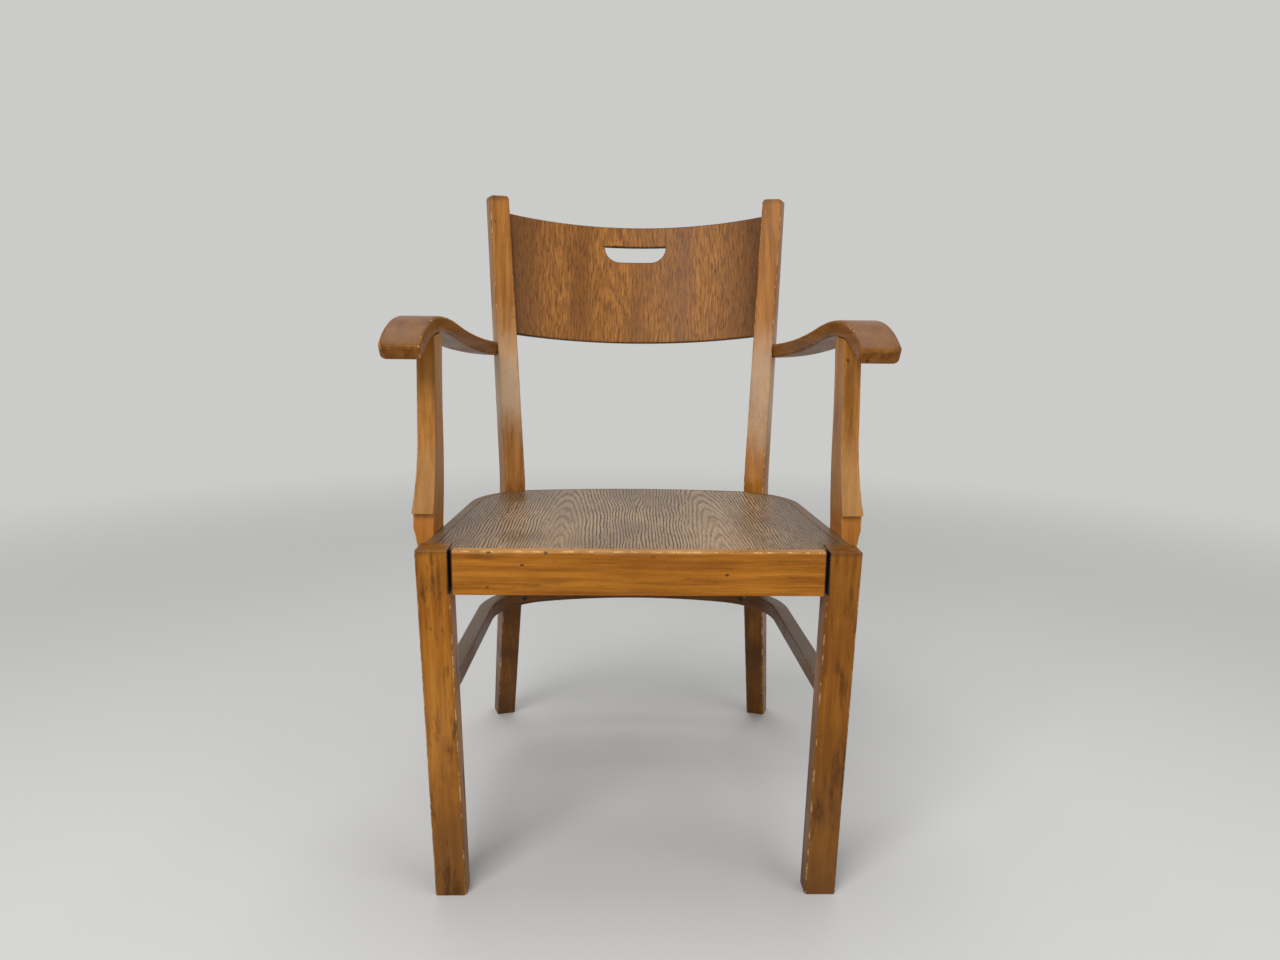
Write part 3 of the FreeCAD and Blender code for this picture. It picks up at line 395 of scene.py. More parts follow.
class Marks(ShaderGroup):
    """Dents, smears of old dirt along the grain, and varnish that has aged unevenly."""

    name = "marks"
    inputs = {"Vector": ("Vector", 0.0)}
    outputs = {"Dent": "Float", "Smear": "Float", "Cloud": "Float"}
    cell_scale: float = 46.0
    cell_stretch: Triple = (1.0, 1.0, 0.6)
    ragged: Noise = Noise(260.0, detail=2.0)
    ragged_width: float = 0.09
    dent: Ramp = Ramp(0.08, 0.15, weak=1.0, strong=0.0)
    dented_cells: Ramp = Ramp(0.3, 0.4)
    smears: Noise = Noise(38.0, detail=6.0, roughness=0.68, stretch=(1.0, 1.0, 0.22))
    smear_tone: Ramp = Ramp(0.5, 0.66)
    clouds: Noise = Noise(8.0, detail=5.0, roughness=0.6)
    cloud_tone: Ramp = Ramp(0.35, 0.68)

    def build(self, graph: Graph, start: bpy.types.Node) -> dict[str, Socket]:
        """Keep the middles of some cells of a fine pattern as dents.

        Args:
            graph: The group's graph.
            start: Its input node.

        Returns:
            The masks of the dents, smears and clouds.
        """
        place = start.outputs["Vector"]
        cells = graph.node("TexVoronoi", feature="F1")
        graph.feed(cells.inputs["Vector"], graph.scaled(place, self.cell_stretch))
        graph.feed(cells.inputs["Scale"], self.cell_scale)
        ragged = graph.noise(place, self.ragged)
        reach = graph.plus(cells.outputs["Distance"], ragged, self.ragged_width)
        chosen = graph.span(graph.split(cells.outputs["Color"])[0], self.dented_cells)
        return {
            "Dent": graph.times(graph.span(reach, self.dent), chosen),
            "Smear": graph.span(graph.noise(place, self.smears), self.smear_tone),
            "Cloud": graph.span(graph.noise(place, self.clouds), self.cloud_tone),
        }


class BentCourse(ShaderGroup):
    """Place on a bent U of wood: across it, up it and along it."""

    name = "bent course"
    inputs = {
        "Vector": ("Vector", 0.0),
        "Half width": ("Float", 0.15),
        "Back": ("Float", 0.0),
    }
    outputs = {"Vector": "Vector"}

    def build(self, graph: Graph, start: bpy.types.Node) -> dict[str, Socket]:
        """Measure the distance from a rounded corner's centre.

        Args:
            graph: The group's graph.
            start: Its input node.

        Returns:
            The place.
        """
        x, y, z = graph.split(start.outputs["Vector"])
        out = graph.math("SUBTRACT", graph.math("ABSOLUTE", x), start.outputs["Half width"])
        back = graph.math("SUBTRACT", y, start.outputs["Back"])
        across = graph.slant(graph.math("MAXIMUM", out, 0.0), graph.math("MAXIMUM", back, 0.0))
        along = graph.math("SUBTRACT", x, y)
        return {"Vector": graph.join(across, z, along)}


@dataclass(frozen=True)
class SharedEffects:
    """The node groups that the finishes share."""

    wear: EdgeWear = field(default_factory=EdgeWear)
    grain: WoodGrain = field(default_factory=WoodGrain)
    marks: Marks = field(default_factory=Marks)
    course: BentCourse = field(default_factory=BentCourse)


def new_material(name: str) -> tuple[bpy.types.Material, Graph, bpy.types.Node]:
    """Start a material.

    Args:
        name: Its name.

    Returns:
        The material, its graph and its Principled shader.
    """
    material = bpy.data.materials.new(name)
    material.use_nodes = True
    graph = Graph(material.node_tree)
    shader = next(n for n in material.node_tree.nodes if n.type == "BSDF_PRINCIPLED")
    return material, graph, shader


def object_place(graph: Graph) -> Socket:
    """Return the place on the object, in metres."""
    return graph.node("TexCoord").outputs["Object"]


def facing_up(graph: Graph) -> Socket:
    """Return how far the surface faces up, from -1 to 1."""
    return graph.split(graph.node("NewGeometry").outputs["Normal"])[2]


def bump(graph: Graph, shader: bpy.types.Node, pattern: Socket, relief: Relief) -> None:
    """Raise a pattern on a shader's surface.

    Args:
        graph: The material's graph.
        shader: Its shader.
        pattern: The pattern.
        relief: How it stands out.
    """
    node = graph.node("Bump")
    graph.feed(node.inputs["Strength"], relief.strength)
    graph.feed(node.inputs["Distance"], relief.height)
    graph.feed(node.inputs["Height"], pattern)
    graph.feed(shader.inputs["Normal"], node.outputs["Normal"])


@dataclass(frozen=True)
class Zone:
    """A stretch of a piece's height in another colour: aged wood, and on some pieces painted
    shade.
    """

    colour: Colour
    low: float
    high: float
    fade: float = 0.06
    amount: float = 0.6
    patchiness: Ramp = Ramp(0.0, 1.0, weak=0.55)

    def tint(self, graph: Graph, colour: Socket, height: Socket, ragged: Socket) -> Socket:
        """Tint a colour inside the stretch.

        Args:
            graph: The material's graph.
            colour: The colour.
            height: The height on the piece, in metres.
            ragged: A pattern that breaks up the stretch and its ends.

        Returns:
            The tinted colour.
        """
        reach = graph.plus(height, ragged, self.fade)
        start = graph.span(reach, Ramp(self.low - self.fade, self.low + self.fade))
        end = graph.span(reach, Ramp(self.high - self.fade, self.high + self.fade, 1.0, 0.0))
        whole = graph.times(graph.times(start, end), self.amount)
        broken = graph.times(whole, graph.span(ragged, self.patchiness))
        return graph.mix(broken, colour, self.colour)


@dataclass(frozen=True)
class GapShadeAndDirt:
    """Painted shade and dirt in the narrow gap where a leg meets the end of the rail.

    It lies above the rail's lower edge, and darkens from near to far, which are measured
    sideways from the middle of the chair.
    """

    near: float
    far: float
    above: float = 0.384
    fade: float = 0.002
    # near black: painted shade in the gap, with dirt
    dirt: Colour = (0.012, 0.006, 0.003)

    def tint(self, graph: Graph, colour: Socket) -> Socket:
        """Darken a colour in the gap.

        Args:
            graph: The material's graph.
            colour: The colour.

        Returns:
            The darkened colour.
        """
        x, _, z = graph.split(object_place(graph))
        sideways = graph.span(graph.math("ABSOLUTE", x), Ramp(self.near, self.far))
        up = graph.span(z, Ramp(self.above - self.fade, self.above + self.fade))
        return graph.mix(graph.times(sideways, up), colour, self.dirt)


@dataclass(frozen=True)
class Beech:
    """Varnished solid beech, darkened with age and rubbed pale on its edges, with painted shade
    on some pieces.

    A bent piece has its corners' centres at half_width and back. An upright piece may
    lean back above and below its bend, by the two slopes in lean.
    """

    effects: SharedEffects
    run: Run
    shift: Triple = (0.0, 0.0, 0.0)
    dark: Colour = (0.2, 0.06, 0.004)
    light: Colour = (0.45, 0.17, 0.015)
    worn: Colour = (0.7, 0.43, 0.18)
    dirt: Colour = (0.06, 0.022, 0.006)
    dent: Colour = (0.022, 0.01, 0.005)
    top: Colour = (0.25, 0.13, 0.06)
    cloud_share: float = 0.22
    line_share: float = 0.3
    fleck_share: float = 0.4
    top_share: float = 0.0
    smear_share: float = 0.3
    worn_share: float = 0.6
    dent_share: float = 0.8
    top_slope: Ramp = Ramp(0.35, 0.85)
    zones: tuple[Zone, ...] = ()
    gap_shade_and_dirt: GapShadeAndDirt | None = None
    wear: float = 0.5
    side: Triple = SIDEWAYS
    dullness: float = 0.34
    aged_dullness: float = 0.12
    worn_dullness: float = 0.15
    shine: float = 0.15
    line_depth: float = 0.25
    relief: Relief = Relief(0.35, 0.0004)
    half_width: float = 0.15
    back: float = 0.0
    lean: tuple[float, float] = (0.0, 0.0)
    bend: float = 0.43

    def course(self, graph: Graph) -> Socket:
        """Return the place on the piece, with Z along its grain.

        Args:
            graph: The material's graph.

        Returns:
            The vector.
        """
        place = object_place(graph)
        x, y, z = graph.split(place)
        if self.run is Run.UPRIGHT:
            turned = graph.join(x, self.upright_depth(graph, y, z), z)
        elif self.run is Run.ACROSS:
            turned = graph.join(y, z, x)
        elif self.run is Run.FRONT_TO_BACK:
            turned = graph.join(x, z, y)
        else:
            node = self.effects.course.place(
                graph, vector=place, half_width=self.half_width, back=self.back)
            turned = node.outputs["Vector"]
        return graph.scaled(turned, EVEN, self.shift)

    def upright_depth(self, graph: Graph, depth: Socket, height: Socket) -> Socket:
        """Follow a post that leans back above and below its bend.

        Args:
            graph: The material's graph.
            depth: Depth on the piece.
            height: Height on it.

        Returns:
            The depth as if the post were straight.
        """
        over = graph.math("MAXIMUM", graph.math("SUBTRACT", height, self.bend), 0.0)
        under = graph.math("MAXIMUM", graph.math("SUBTRACT", self.bend, height), 0.0)
        back = graph.plus(graph.times(over, self.lean[0]), under, self.lean[1])
        return graph.math("SUBTRACT", depth, back)

    def tone(self, graph: Graph, grain: bpy.types.Node, marks: bpy.types.Node) -> Socket:
        """Colour the sound wood.

        Args:
            graph: The material's graph.
            grain: The placed grain group.
            marks: The placed marks group.

        Returns:
            The colour.
        """
        colour = graph.mix(grain.outputs["Streak"], self.dark, self.light)
        colour = graph.stain(colour, marks.outputs["Cloud"], self.cloud_share, self.light)
        colour = graph.stain(colour, grain.outputs["Line"], self.line_share, self.dark)
        return graph.stain(colour, grain.outputs["Fleck"], self.fleck_share, self.dirt)

    def age(self, graph: Graph, colour: Socket, marks: bpy.types.Node,
            rubbed: Socket) -> Socket:
        """Add what age, dirt and wear have done to the wood, and the painted shade in some zones
        and in the gap by the rail.

        Args:
            graph: The material's graph.
            colour: Colour of the sound wood.
            marks: The placed marks group.
            rubbed: Mask of the rubbed edges.

        Returns:
            The aged colour.
        """
        height = graph.split(object_place(graph))[2]
        # some zones are painted shade: the right leg and the feet
        for zone in self.zones:
            colour = zone.tint(graph, colour, height, marks.outputs["Cloud"])
        if self.top_share:
            upper = graph.span(facing_up(graph), self.top_slope)
            colour = graph.stain(colour, upper, self.top_share, self.top)
        colour = graph.stain(colour, marks.outputs["Smear"], self.smear_share, self.dirt)
        colour = graph.stain(colour, rubbed, self.worn_share, self.worn)
        # painted shade and dirt in the gap beside the rail
        if self.gap_shade_and_dirt:
            colour = self.gap_shade_and_dirt.tint(graph, colour)
        return graph.stain(colour, marks.outputs["Dent"], self.dent_share, self.dent)

    def make(self, name: str) -> bpy.types.Material:
        """Make the material.

        Args:
            name: Its name.

        Returns:
            The material.
        """
        material, graph, shader = new_material(name)
        place = self.course(graph)
        grain = self.effects.grain.place(graph, vector=place)
        marks = self.effects.marks.place(graph, vector=place)
        wear = self.effects.wear.place(graph, axis=self.side, amount=self.wear, seed=place)
        rubbed = wear.outputs["Mask"]
        colour = self.age(graph, self.tone(graph, grain, marks), marks, rubbed)
        graph.feed(shader.inputs["Base Color"], colour)
        rough = graph.span(marks.outputs["Cloud"],
                           Ramp(0.0, 1.0, self.dullness, self.dullness + self.aged_dullness))
        graph.feed(shader.inputs["Roughness"], graph.plus(rough, rubbed, self.worn_dullness))
        graph.feed(shader.inputs["Specular IOR Level"], self.shine)
        lines = graph.times(grain.outputs["Line"], -self.line_depth)
        bump(graph, shader, graph.math("SUBTRACT", lines, marks.outputs["Dent"]), self.relief)
        return material


@dataclass(frozen=True)
class SeatVeneer:
    """Open-pored veneer, grey-brown with dark grain that runs from front to back.

    Two arched figures lie in it, one each side, and the grain between them is straight.
    """

    pale: Colour = (0.345, 0.225, 0.128)
    deep: Colour = (0.2, 0.115, 0.052)
    edge: Colour = (0.11, 0.056, 0.025)
    pore: Colour = (0.022, 0.011, 0.005)
    chip: Colour = (0.03, 0.016, 0.009)
    figure_side: float = 0.098
    figure_front: float = 0.36
    figure_taper: float = 0.075
    bow: Noise = Noise(9.0, detail=3.0, stretch=(1.0, 0.3, 1.0))
    bow_width: float = 0.036
    wave: Noise = Noise(34.0, detail=3.0, stretch=(1.0, 0.35, 1.0))
    wave_width: float = 0.004
    mean_bow: float = 0.02
    ring_spacing: float = 0.0039
    unrest: Noise = Noise(330.0, roughness=0.65, stretch=(1.0, 0.04, 1.0))
    unrest_turn: float = 1.8
    calm_middle: Ramp = Ramp(0.015, 0.05, weak=0.45)
    ring_line: Ramp = Ramp(0.0, 0.8)
    breaks: Noise = Noise(240.0, detail=3.0, roughness=0.7, stretch=(1.0, 0.1, 1.0))
    break_line: Ramp = Ramp(0.28, 0.5)
    ring_share: float = 0.95
    patches: Noise = Noise(12.0, stretch=(1.0, 0.55, 1.0))
    patch_tone: Ramp = Ramp(0.32, 0.66)
    margin: Ramp = Ramp(0.195, 0.265, strong=0.7)
    margin_ragged: float = 0.06
    pores: Noise = Noise(900.0, detail=2.0, stretch=(1.0, 0.05, 1.0))
    pore_tone: Ramp = Ramp(0.52, 0.7, strong=0.6)
    chips: Noise = Noise(150.0, detail=3.0)
    chip_line: Ramp = Ramp(0.56, 0.62)
    front_lip: Ramp = Ramp(-0.27, -0.264, weak=1.0, strong=0.0)
    dullness: Ramp = Ramp(0.3, 0.7, weak=0.3, strong=0.4)
    shine: float = 0.2
    relief: Relief = Relief(0.5, 0.0004)

    def rings(self, graph: Graph, place: Socket) -> Socket:
        """Draw the dark rings of the two arched figures.

        Args:
            graph: The material's graph.
            place: The place on the panel.

        Returns:
            A mask of the rings.
        """
        x, y, _ = graph.split(place)
        away = graph.math("SUBTRACT", graph.math("ABSOLUTE", x), self.figure_side)
        away = graph.plus(away, graph.noise(place, self.bow), self.bow_width)
        away = graph.plus(away, graph.noise(place, self.wave), self.wave_width)
        away = graph.math("SUBTRACT", away, self.mean_bow)
        along = graph.times(graph.math("ADD", y, self.figure_front), self.figure_taper)
        ring = graph.slant(away, along)
        turn = graph.plus(graph.times(ring, math.tau / self.ring_spacing),
                          graph.noise(place, self.unrest), self.unrest_turn)
        line = graph.span(graph.math("SINE", turn), self.ring_line)
        return graph.times(graph.span(ring, self.calm_middle), line)

    def make(self, name: str) -> bpy.types.Material:
        """Make the material.

        Args:
            name: Its name.

        Returns:
            The material.
        """
        material, graph, shader = new_material(name)
        place = object_place(graph)
        x, y, _ = graph.split(place)
        patch = graph.noise(place, self.patches)
        colour = graph.mix(graph.span(patch, self.patch_tone), self.deep, self.pale)
        side = graph.plus(graph.math("ABSOLUTE", x), patch, self.margin_ragged)
        colour = graph.mix(graph.span(side, self.margin), colour, self.edge)
        unbroken = graph.span(graph.noise(place, self.breaks), self.break_line)
        rings = graph.times(self.rings(graph, place), unbroken)
        colour = graph.stain(colour, rings, self.ring_share, self.pore)
        pores = graph.span(graph.noise(place, self.pores), self.pore_tone)
        colour = graph.mix(pores, colour, self.pore)
        chipped = graph.span(graph.noise(place, self.chips), self.chip_line)
        chips = graph.times(graph.span(y, self.front_lip), chipped)
        colour = graph.mix(chips, colour, self.chip)
        graph.feed(shader.inputs["Base Color"], colour)
        graph.feed(shader.inputs["Roughness"], graph.span(patch, self.dullness))
        graph.feed(shader.inputs["Specular IOR Level"], self.shine)
        bump(graph, shader, graph.times(rings, -1.0), self.relief)
        return material


@dataclass(frozen=True)
class BackVeneer:
    """Fine upright veneer, darker towards the posts, with dark ply edges."""

    middle: Colour = (0.4, 0.165, 0.034)
    low: Colour = (0.17, 0.062, 0.012)
    side: Colour = (0.075, 0.03, 0.009)
    pore: Colour = (0.035, 0.013, 0.004)
    bow: Noise = Noise(14.0, detail=3.0, stretch=(1.0, 0.3, 0.4))
    bow_width: float = 0.07
    figure_height: float = 0.6
    figure_taper: float = 0.16
    ring_turn: float = 900.0
    unrest: Noise = Noise(240.0, detail=3.0, roughness=0.6, stretch=(1.0, 0.3, 0.05))
    unrest_turn: float = 7.0
    ring_line: Ramp = Ramp(-0.2, 1.0)
    figure_share: float = 0.5
    clouds: Noise = Noise(17.0, roughness=0.6, stretch=(1.0, 0.2, 0.16))
    cloud_tone: Ramp = Ramp(0.32, 0.64, weak=0.2)
    shade: Ramp = Ramp(0.13, 0.21, strong=0.9)
    shade_ragged: float = 0.12
    streaks: Noise = Noise(400.0, roughness=0.6, stretch=(1.0, 0.3, 0.025))
    streak_tone: Ramp = Ramp(0.44, 0.6, strong=0.6)
    pores: Noise = Noise(700.0, detail=3.0, roughness=0.6, stretch=(1.0, 0.3, 0.025))
    pore_tone: Ramp = Ramp(0.5, 0.64, strong=0.6)
    ply_edge: Ramp = Ramp(0.42, 0.75, strong=0.9)
    dullness: Ramp = Ramp(0.3, 0.7, weak=0.4, strong=0.5)
    shine: float = 0.16
    relief: Relief = Relief(0.25, 0.0003)

    def figure(self, graph: Graph, place: Socket) -> Socket:
        """Draw the faint pointed figure in the middle of the panel.

        Args:
            graph: The material's graph.
            place: The place on the panel.

        Returns:
            A mask of its lines.
        """
        x, _, z = graph.split(place)
        away = graph.plus(x, graph.noise(place, self.bow), self.bow_width)
        along = graph.times(graph.math("SUBTRACT", z, self.figure_height), self.figure_taper)
        turn = graph.plus(graph.times(graph.slant(away, along), self.ring_turn),
                          graph.noise(place, self.unrest), self.unrest_turn)
        return graph.span(graph.math("SINE", turn), self.ring_line)

    def make(self, name: str) -> bpy.types.Material:
        """Make the material.

        Args:
            name: Its name.

        Returns:
            The material.
        """
        material, graph, shader = new_material(name)
        place = object_place(graph)
        cloud = graph.noise(place, self.clouds)
        colour = graph.mix(graph.span(cloud, self.cloud_tone), self.low, self.middle)
        colour = graph.stain(colour, self.figure(graph, place), self.figure_share, self.low)
        sideways = graph.math("ABSOLUTE", graph.split(place)[0])
        edge = graph.plus(sideways, graph.math("SUBTRACT", cloud, NOISE_MEAN), self.shade_ragged)
        colour = graph.mix(graph.span(edge, self.shade), colour, self.side)
        streaks = graph.noise(place, self.streaks)
        colour = graph.mix(graph.span(streaks, self.streak_tone), colour, self.low)
        pores = graph.noise(place, self.pores)
        colour = graph.mix(graph.span(pores, self.pore_tone), colour, self.pore)
        ply = graph.span(graph.math("ABSOLUTE", facing_up(graph)), self.ply_edge)
        colour = graph.mix(ply, colour, self.pore)
        graph.feed(shader.inputs["Base Color"], colour)
        graph.feed(shader.inputs["Roughness"], graph.span(cloud, self.dullness))
        graph.feed(shader.inputs["Specular IOR Level"], self.shine)
        bump(graph, shader, graph.times(pores, -1.0), self.relief)
        return material


@dataclass(frozen=True)
class DarkSteel:
    """Old screw heads, dark with spots of rust."""

    steel: Colour = (0.05, 0.043, 0.037)
    rust: Colour = (0.13, 0.055, 0.022)
    spots: Noise = Noise(420.0, roughness=0.65)
    rusty: Ramp = Ramp(0.5, 0.68)
    dullness: Ramp = Ramp(0.35, 0.65, weak=0.35, strong=0.7)
    metal: float = 0.9
    relief: Relief = Relief(0.3, 0.0002)

    def make(self, name: str) -> bpy.types.Material:
        """Make the material.

        Args:
            name: Its name.

        Returns:
            The material.
        """
        material, graph, shader = new_material(name)
        spots = graph.noise(object_place(graph), self.spots)
        colour = graph.mix(graph.span(spots, self.rusty), self.steel, self.rust)
        graph.feed(shader.inputs["Base Color"], colour)
        graph.feed(shader.inputs["Roughness"], graph.span(spots, self.dullness))
        graph.feed(shader.inputs["Metallic"], self.metal)
        bump(graph, shader, spots, self.relief)
        return material


def dress(node: str, material: bpy.types.Material) -> None:
    """Give a CAD piece its material.

    Args:
        node: The piece's name.
        material: The material.
    """
    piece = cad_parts[node]
    for number in range(max(len(piece.material_slots), 1)):
        if number >= len(piece.material_slots):
            piece.data.materials.append(material)
        piece.material_slots[number].material = material
    LOG.info("dressed %s", node)


@dataclass
class SeatFrame:
    """Front legs, front rail, seat ring and the blocks in its corners."""

    effects: SharedEffects
    ring_half_width: float = 0.145
    ring_back: float = -0.02
    # darker towards the feet: grime, and painted shade where the light falls off towards the
    # floor
    foot_grime_and_painted_shade: Zone = Zone((0.12, 0.055, 0.018), low=-0.1, high=0.2, fade=0.1, amount=0.75)
    left_paling: Zone = Zone((0.42, 0.2, 0.055), low=0.2, high=0.32, amount=0.3)
    # painted shade over the whole right leg, for light that falls from the left
    right_leg_painted_shade: Zone = Zone((0.12, 0.04, 0.005), low=0.0, high=0.5, fade=0.08, amount=0.7)
    top_dirt: Zone = Zone((0.06, 0.029, 0.011), low=0.4325, high=0.5, fade=0.004, amount=0.85)
    rail_lip: Zone = Zone((0.55, 0.31, 0.11), low=0.4335, high=0.5, fade=0.0012, amount=0.45)
    # painted shade and dirt in the gaps where the legs meet the rail
    leg_gap_shade_and_dirt: GapShadeAndDirt = GapShadeAndDirt(0.2235, 0.2215)
    rail_gap_shade_and_dirt: GapShadeAndDirt = GapShadeAndDirt(0.2155, 0.2175)
    hidden: tuple[str, ...] = ("corner_block_left", "corner_block_right",
                               "arm_front_dowels", "hoop_front_dowels")

    def build(self) -> None:
        """Dress the pieces."""
        left = Beech(self.effects, Run.UPRIGHT, shift=(0.3, 0.0, 0.0), wear=0.44,
                     smear_share=0.85, gap_shade_and_dirt=self.leg_gap_shade_and_dirt,
                     zones=(self.left_paling, self.foot_grime_and_painted_shade, self.top_dirt))
        # the right leg's beech carries painted shade over its whole height
        right = Beech(self.effects, Run.UPRIGHT, shift=(1.7, 0.4, 0.2), wear=0.42,
                      smear_share=0.8, gap_shade_and_dirt=self.leg_gap_shade_and_dirt,
                      zones=(self.right_leg_painted_shade, self.foot_grime_and_painted_shade, self.top_dirt))
        rail = Beech(self.effects, Run.ACROSS, shift=(0.6, 0.2, 0.1), wear=0.4, side=UP,
                     smear_share=0.35, gap_shade_and_dirt=self.rail_gap_shade_and_dirt, zones=(self.rail_lip,))
        ring = Beech(self.effects, Run.BENT, wear=0.75, side=UP,
                     half_width=self.ring_half_width, back=self.ring_back,
                     top=(0.115, 0.068, 0.035), top_share=0.95, worn=(0.04, 0.02, 0.01))
        raw = Beech(self.effects, Run.ACROSS, dark=(0.3, 0.18, 0.085),
                    light=(0.46, 0.31, 0.17), worn=(0.5, 0.36, 0.22), smear_share=0.1,
                    dullness=0.6)
        dress("front_leg_left", left.make("left leg beech"))
        dress("front_leg_right", right.make("right leg beech with painted shade"))
        dress("front_rail", rail.make("rail beech"))
        dress("seat_ring", ring.make("ring beech"))
        unfinished = raw.make("unfinished wood")
        for node in self.hidden:
            dress(node, unfinished)


@dataclass
class Seat:
    """The seat panel."""

    veneer: SeatVeneer = SeatVeneer()

    def build(self) -> None:
        """Dress the panel."""
        dress("seat_panel", self.veneer.make("seat veneer"))


@dataclass
class Back:
    """Rear posts and the bent backrest."""

    effects: SharedEffects
    lean: tuple[float, float] = (0.29, 0.43)
    turn: float = math.radians(18.0)
    rubbed: Zone = Zone((0.5, 0.35, 0.22), low=0.56, high=0.69, fade=0.05, amount=0.9)
    # darker towards the feet: grime, and painted shadow under the seat
    foot_grime_and_painted_shade: Zone = Zone((0.07, 0.026, 0.007), low=-0.1, high=0.4, fade=0.05, amount=0.85)
    top_dirt: Zone = Zone((0.1, 0.045, 0.016), low=0.882, high=1.0, fade=0.004, amount=0.8)
    veneer: BackVeneer = BackVeneer()

    def build(self) -> None:
        """Dress the pieces."""
        zones = (self.rubbed, self.foot_grime_and_painted_shade, self.top_dirt)
        left = Beech(self.effects, Run.UPRIGHT, shift=(2.1, 0.0, 0.5), wear=0.36,
                     lean=self.lean, side=(math.cos(self.turn), math.sin(self.turn), 0.0),
                     dark=(0.19, 0.066, 0.009), light=(0.44, 0.185, 0.035), zones=zones)
        right = Beech(self.effects, Run.UPRIGHT, shift=(3.4, 0.7, 0.9), wear=0.44,
                      lean=self.lean, side=(math.cos(self.turn), -math.sin(self.turn), 0.0),
                      dark=(0.2, 0.065, 0.007), light=(0.43, 0.17, 0.022), zones=zones,
                      smear_share=0.28)
        dress("rear_post_left", left.make("left post beech"))
        dress("rear_post_right", right.make("right post beech"))
        dress("backrest_panel", self.veneer.make("back veneer"))


@dataclass
class Arms:
    """Armrests and their posts."""

    effects: SharedEffects
    lap_glow: Zone = Zone((0.42, 0.14, 0.014), low=0.3, high=0.462, fade=0.004, amount=0.75)
    paling: Zone = Zone((0.46, 0.26, 0.11), low=0.47, high=0.56, fade=0.03, amount=0.5)
    right_shift: float = 1.3

    def build(self) -> None:
        """Dress the pieces."""
        for side, shift in (("left", 0.0), ("right", self.right_shift)):
            rest = Beech(self.effects, Run.FRONT_TO_BACK, shift=(shift, 0.3, 0.2), wear=0.34,
                         dark=(0.13, 0.046, 0.007), light=(0.29, 0.115, 0.024),
                         top=(0.14, 0.062, 0.02), top_share=0.6, smear_share=0.35,
                         dullness=0.27, shine=0.07)
            post = Beech(self.effects, Run.UPRIGHT, shift=(0.4, shift, 0.6), wear=0.45,
                         dark=(0.22, 0.08, 0.011), light=(0.48, 0.21, 0.045),
                         smear_share=0.25, zones=(self.paling, self.lap_glow))
            dress(f"armrest_{side}", rest.make(f"{side} arm beech"))
            dress(f"arm_post_{side}", post.make(f"{side} arm post beech"))


@dataclass
class UnderHoop:
    """The hoop between the legs."""

    effects: SharedEffects
    half_width: float = 0.12
    back: float = 0.06

    def build(self) -> None:
        """Dress the hoop."""
        hoop = Beech(self.effects, Run.BENT, shift=(0.9, 0.1, 0.0), wear=0.3, side=UP,
                     dark=(0.08, 0.03, 0.007), light=(0.18, 0.075, 0.02),
                     half_width=self.half_width, back=self.back,
                     top=(0.17, 0.12, 0.08), top_share=0.85)
        dress("under_hoop", hoop.make("hoop beech"))


@dataclass
class Fixings:
    """Screws."""

    nodes: tuple[str, ...] = ("ring_post_screws", "arm_post_screws", "hoop_rear_screws",
                              "arm_rear_screws", "corner_block_screws")

    def build(self) -> None:
        """Dress the screws."""
        steel = DarkSteel().make("dark steel")
        for node in self.nodes:
            dress(node, steel)


@dataclass(frozen=True)
class Lamp:
    """A square lamp that looks at the chair: its place, its side and its power in watts."""

    name: str
    place: Triple
    size: float
    power: float
    target: Triple = (0.0, 0.0, 0.5)

    def hang(self) -> None:
        """Hang the lamp."""
        data = bpy.data.lights.new(self.name, "AREA")
        data.size = self.size
        data.energy = self.power
        lamp = bpy.data.objects.new(self.name, data)
        lamp.location = self.place
        aim = Vector(self.target) - Vector(self.place)
        lamp.rotation_euler = aim.to_track_quat("-Z", "Y").to_euler()
        bpy.context.scene.collection.objects.link(lamp)


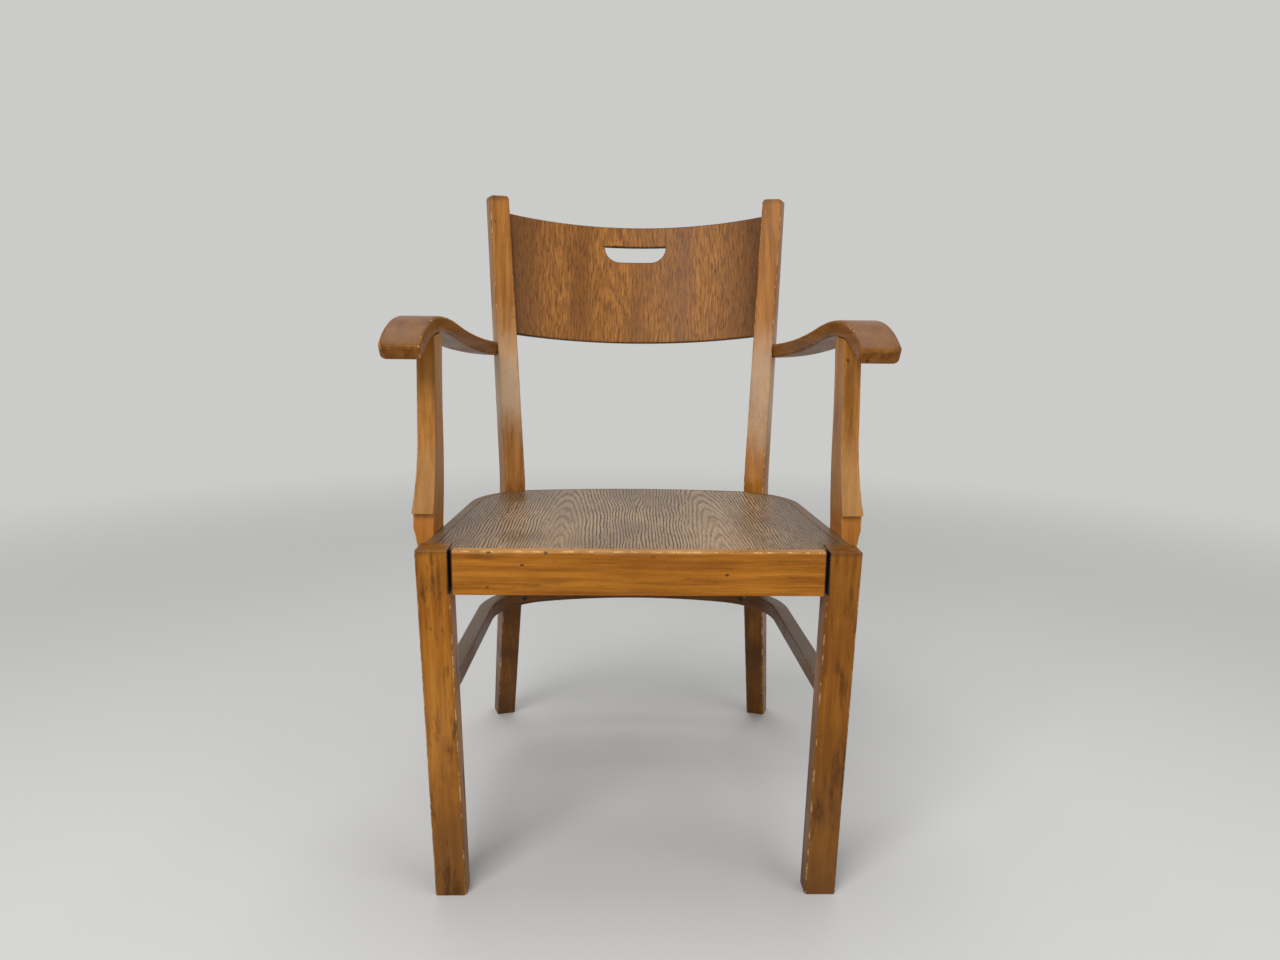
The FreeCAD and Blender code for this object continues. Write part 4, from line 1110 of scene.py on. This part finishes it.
@dataclass
class Studio:
    """Floor, light and camera."""

    eye: Triple = (-0.0244, -1.3382, 0.7078)
    pitch: float = 10.1
    heading: float = 1.3
    roll: float = 0.6
    lens: float = 26.46
    film_width: float = 36.0
    nearest: float = 0.05
    backdrop: Colour = (0.6, 0.6, 0.59)
    half_floor: float = 9.0
    floor_dullness: float = 0.9
    floor_shine: float = 0.1
    plain: Ramp = Ramp(1.0, 3.2)
    ambient: float = 0.32
    lamps: tuple[Lamp, ...] = (
        Lamp("key", (-1.0, -2.3, 2.4), 1.6, 64.0),
        Lamp("fill", (1.7, -1.6, 1.5), 1.6, 16.0),
        Lamp("top", (0.0, 0.6, 2.8), 2.0, 32.0),
    )

    def build(self) -> None:
        """Set the stage."""
        self.lay_floor()
        self.hang_sky()
        for lamp in self.lamps:
            lamp.hang()
        self.aim()

    def seen(self, graph: Graph) -> Socket:
        """Tell the rays that show a surface, straight or mirrored.

        Args:
            graph: The graph of a material or the world.

        Returns:
            1 for these rays.
        """
        path = graph.node("LightPath")
        bright = graph.math("MAXIMUM", path.outputs["Is Glossy Ray"],
                            path.outputs["Is Transmission Ray"])
        return graph.math("MAXIMUM", path.outputs["Is Camera Ray"], bright)

    def lay_floor(self) -> None:
        """Lay a pale floor that turns into the plain backdrop further out."""
        mesh = bpy.data.meshes.new("floor")
        sheet = bmesh.new()
        bmesh.ops.create_grid(sheet, x_segments=1, y_segments=1, size=self.half_floor)
        sheet.to_mesh(mesh)
        sheet.free()
        floor = bpy.data.objects.new("floor", mesh)
        bpy.context.scene.collection.objects.link(floor)
        material, graph, shader = new_material("pale floor")
        graph.feed(shader.inputs["Base Color"], self.backdrop)
        graph.feed(shader.inputs["Roughness"], self.floor_dullness)
        graph.feed(shader.inputs["Specular IOR Level"], self.floor_shine)
        plain = graph.node("Emission")
        graph.feed(plain.inputs["Color"], self.backdrop)
        away = graph.node("VectorMath", operation="LENGTH")
        graph.feed(away.inputs[0], object_place(graph))
        far = graph.span(away.outputs["Value"], self.plain)
        both = graph.node("MixShader")
        graph.feed(both.inputs[0], graph.times(far, self.seen(graph)))
        graph.feed(both.inputs[1], shader.outputs[0])
        graph.feed(both.inputs[2], plain.outputs[0])
        end = next(n for n in material.node_tree.nodes if n.type == "OUTPUT_MATERIAL")
        graph.feed(end.inputs["Surface"], both.outputs[0])
        mesh.materials.append(material)

    def hang_sky(self) -> None:
        """Light the chair evenly from all round, behind a plain backdrop."""
        world = bpy.data.worlds.new("pale world")
        world.use_nodes = True
        bpy.context.scene.world = world
        graph = Graph(world.node_tree)
        soft = world.node_tree.nodes["Background"]
        graph.feed(soft.inputs["Color"], (1.0, 1.0, 1.0))
        graph.feed(soft.inputs["Strength"], self.ambient)
        plain = graph.node("Background")
        graph.feed(plain.inputs["Color"], self.backdrop)
        both = graph.node("MixShader")
        graph.feed(both.inputs[0], self.seen(graph))
        graph.feed(both.inputs[1], soft.outputs[0])
        graph.feed(both.inputs[2], plain.outputs[0])
        graph.feed(world.node_tree.nodes["World Output"].inputs["Surface"], both.outputs[0])

    def aim(self) -> None:
        """Stand the camera where the photograph was taken from."""
        data = bpy.data.cameras.new("camera")
        data.lens = self.lens
        data.sensor_width = self.film_width
        data.clip_start = self.nearest
        camera = bpy.data.objects.new("camera", data)
        camera.location = self.eye
        turn = Euler((math.radians(90.0 - self.pitch), 0.0, math.radians(-self.heading)))
        roll = Euler((0.0, 0.0, math.radians(self.roll)))
        camera.rotation_euler = (turn.to_matrix() @ roll.to_matrix()).to_euler()
        bpy.context.scene.collection.objects.link(camera)
        bpy.context.scene.camera = camera


def main() -> None:
    """Dress the chair and set the stage."""
    bpy.context.scene.view_settings.view_transform = "Standard"
    effects = SharedEffects()
    for assembly in (SeatFrame(effects), Seat(), Back(effects), Arms(effects),
                     UnderHoop(effects), Fixings(), Studio()):
        assembly.build()
        LOG.info("built %s", type(assembly).__name__)


if __name__ == "__main__":
    main()
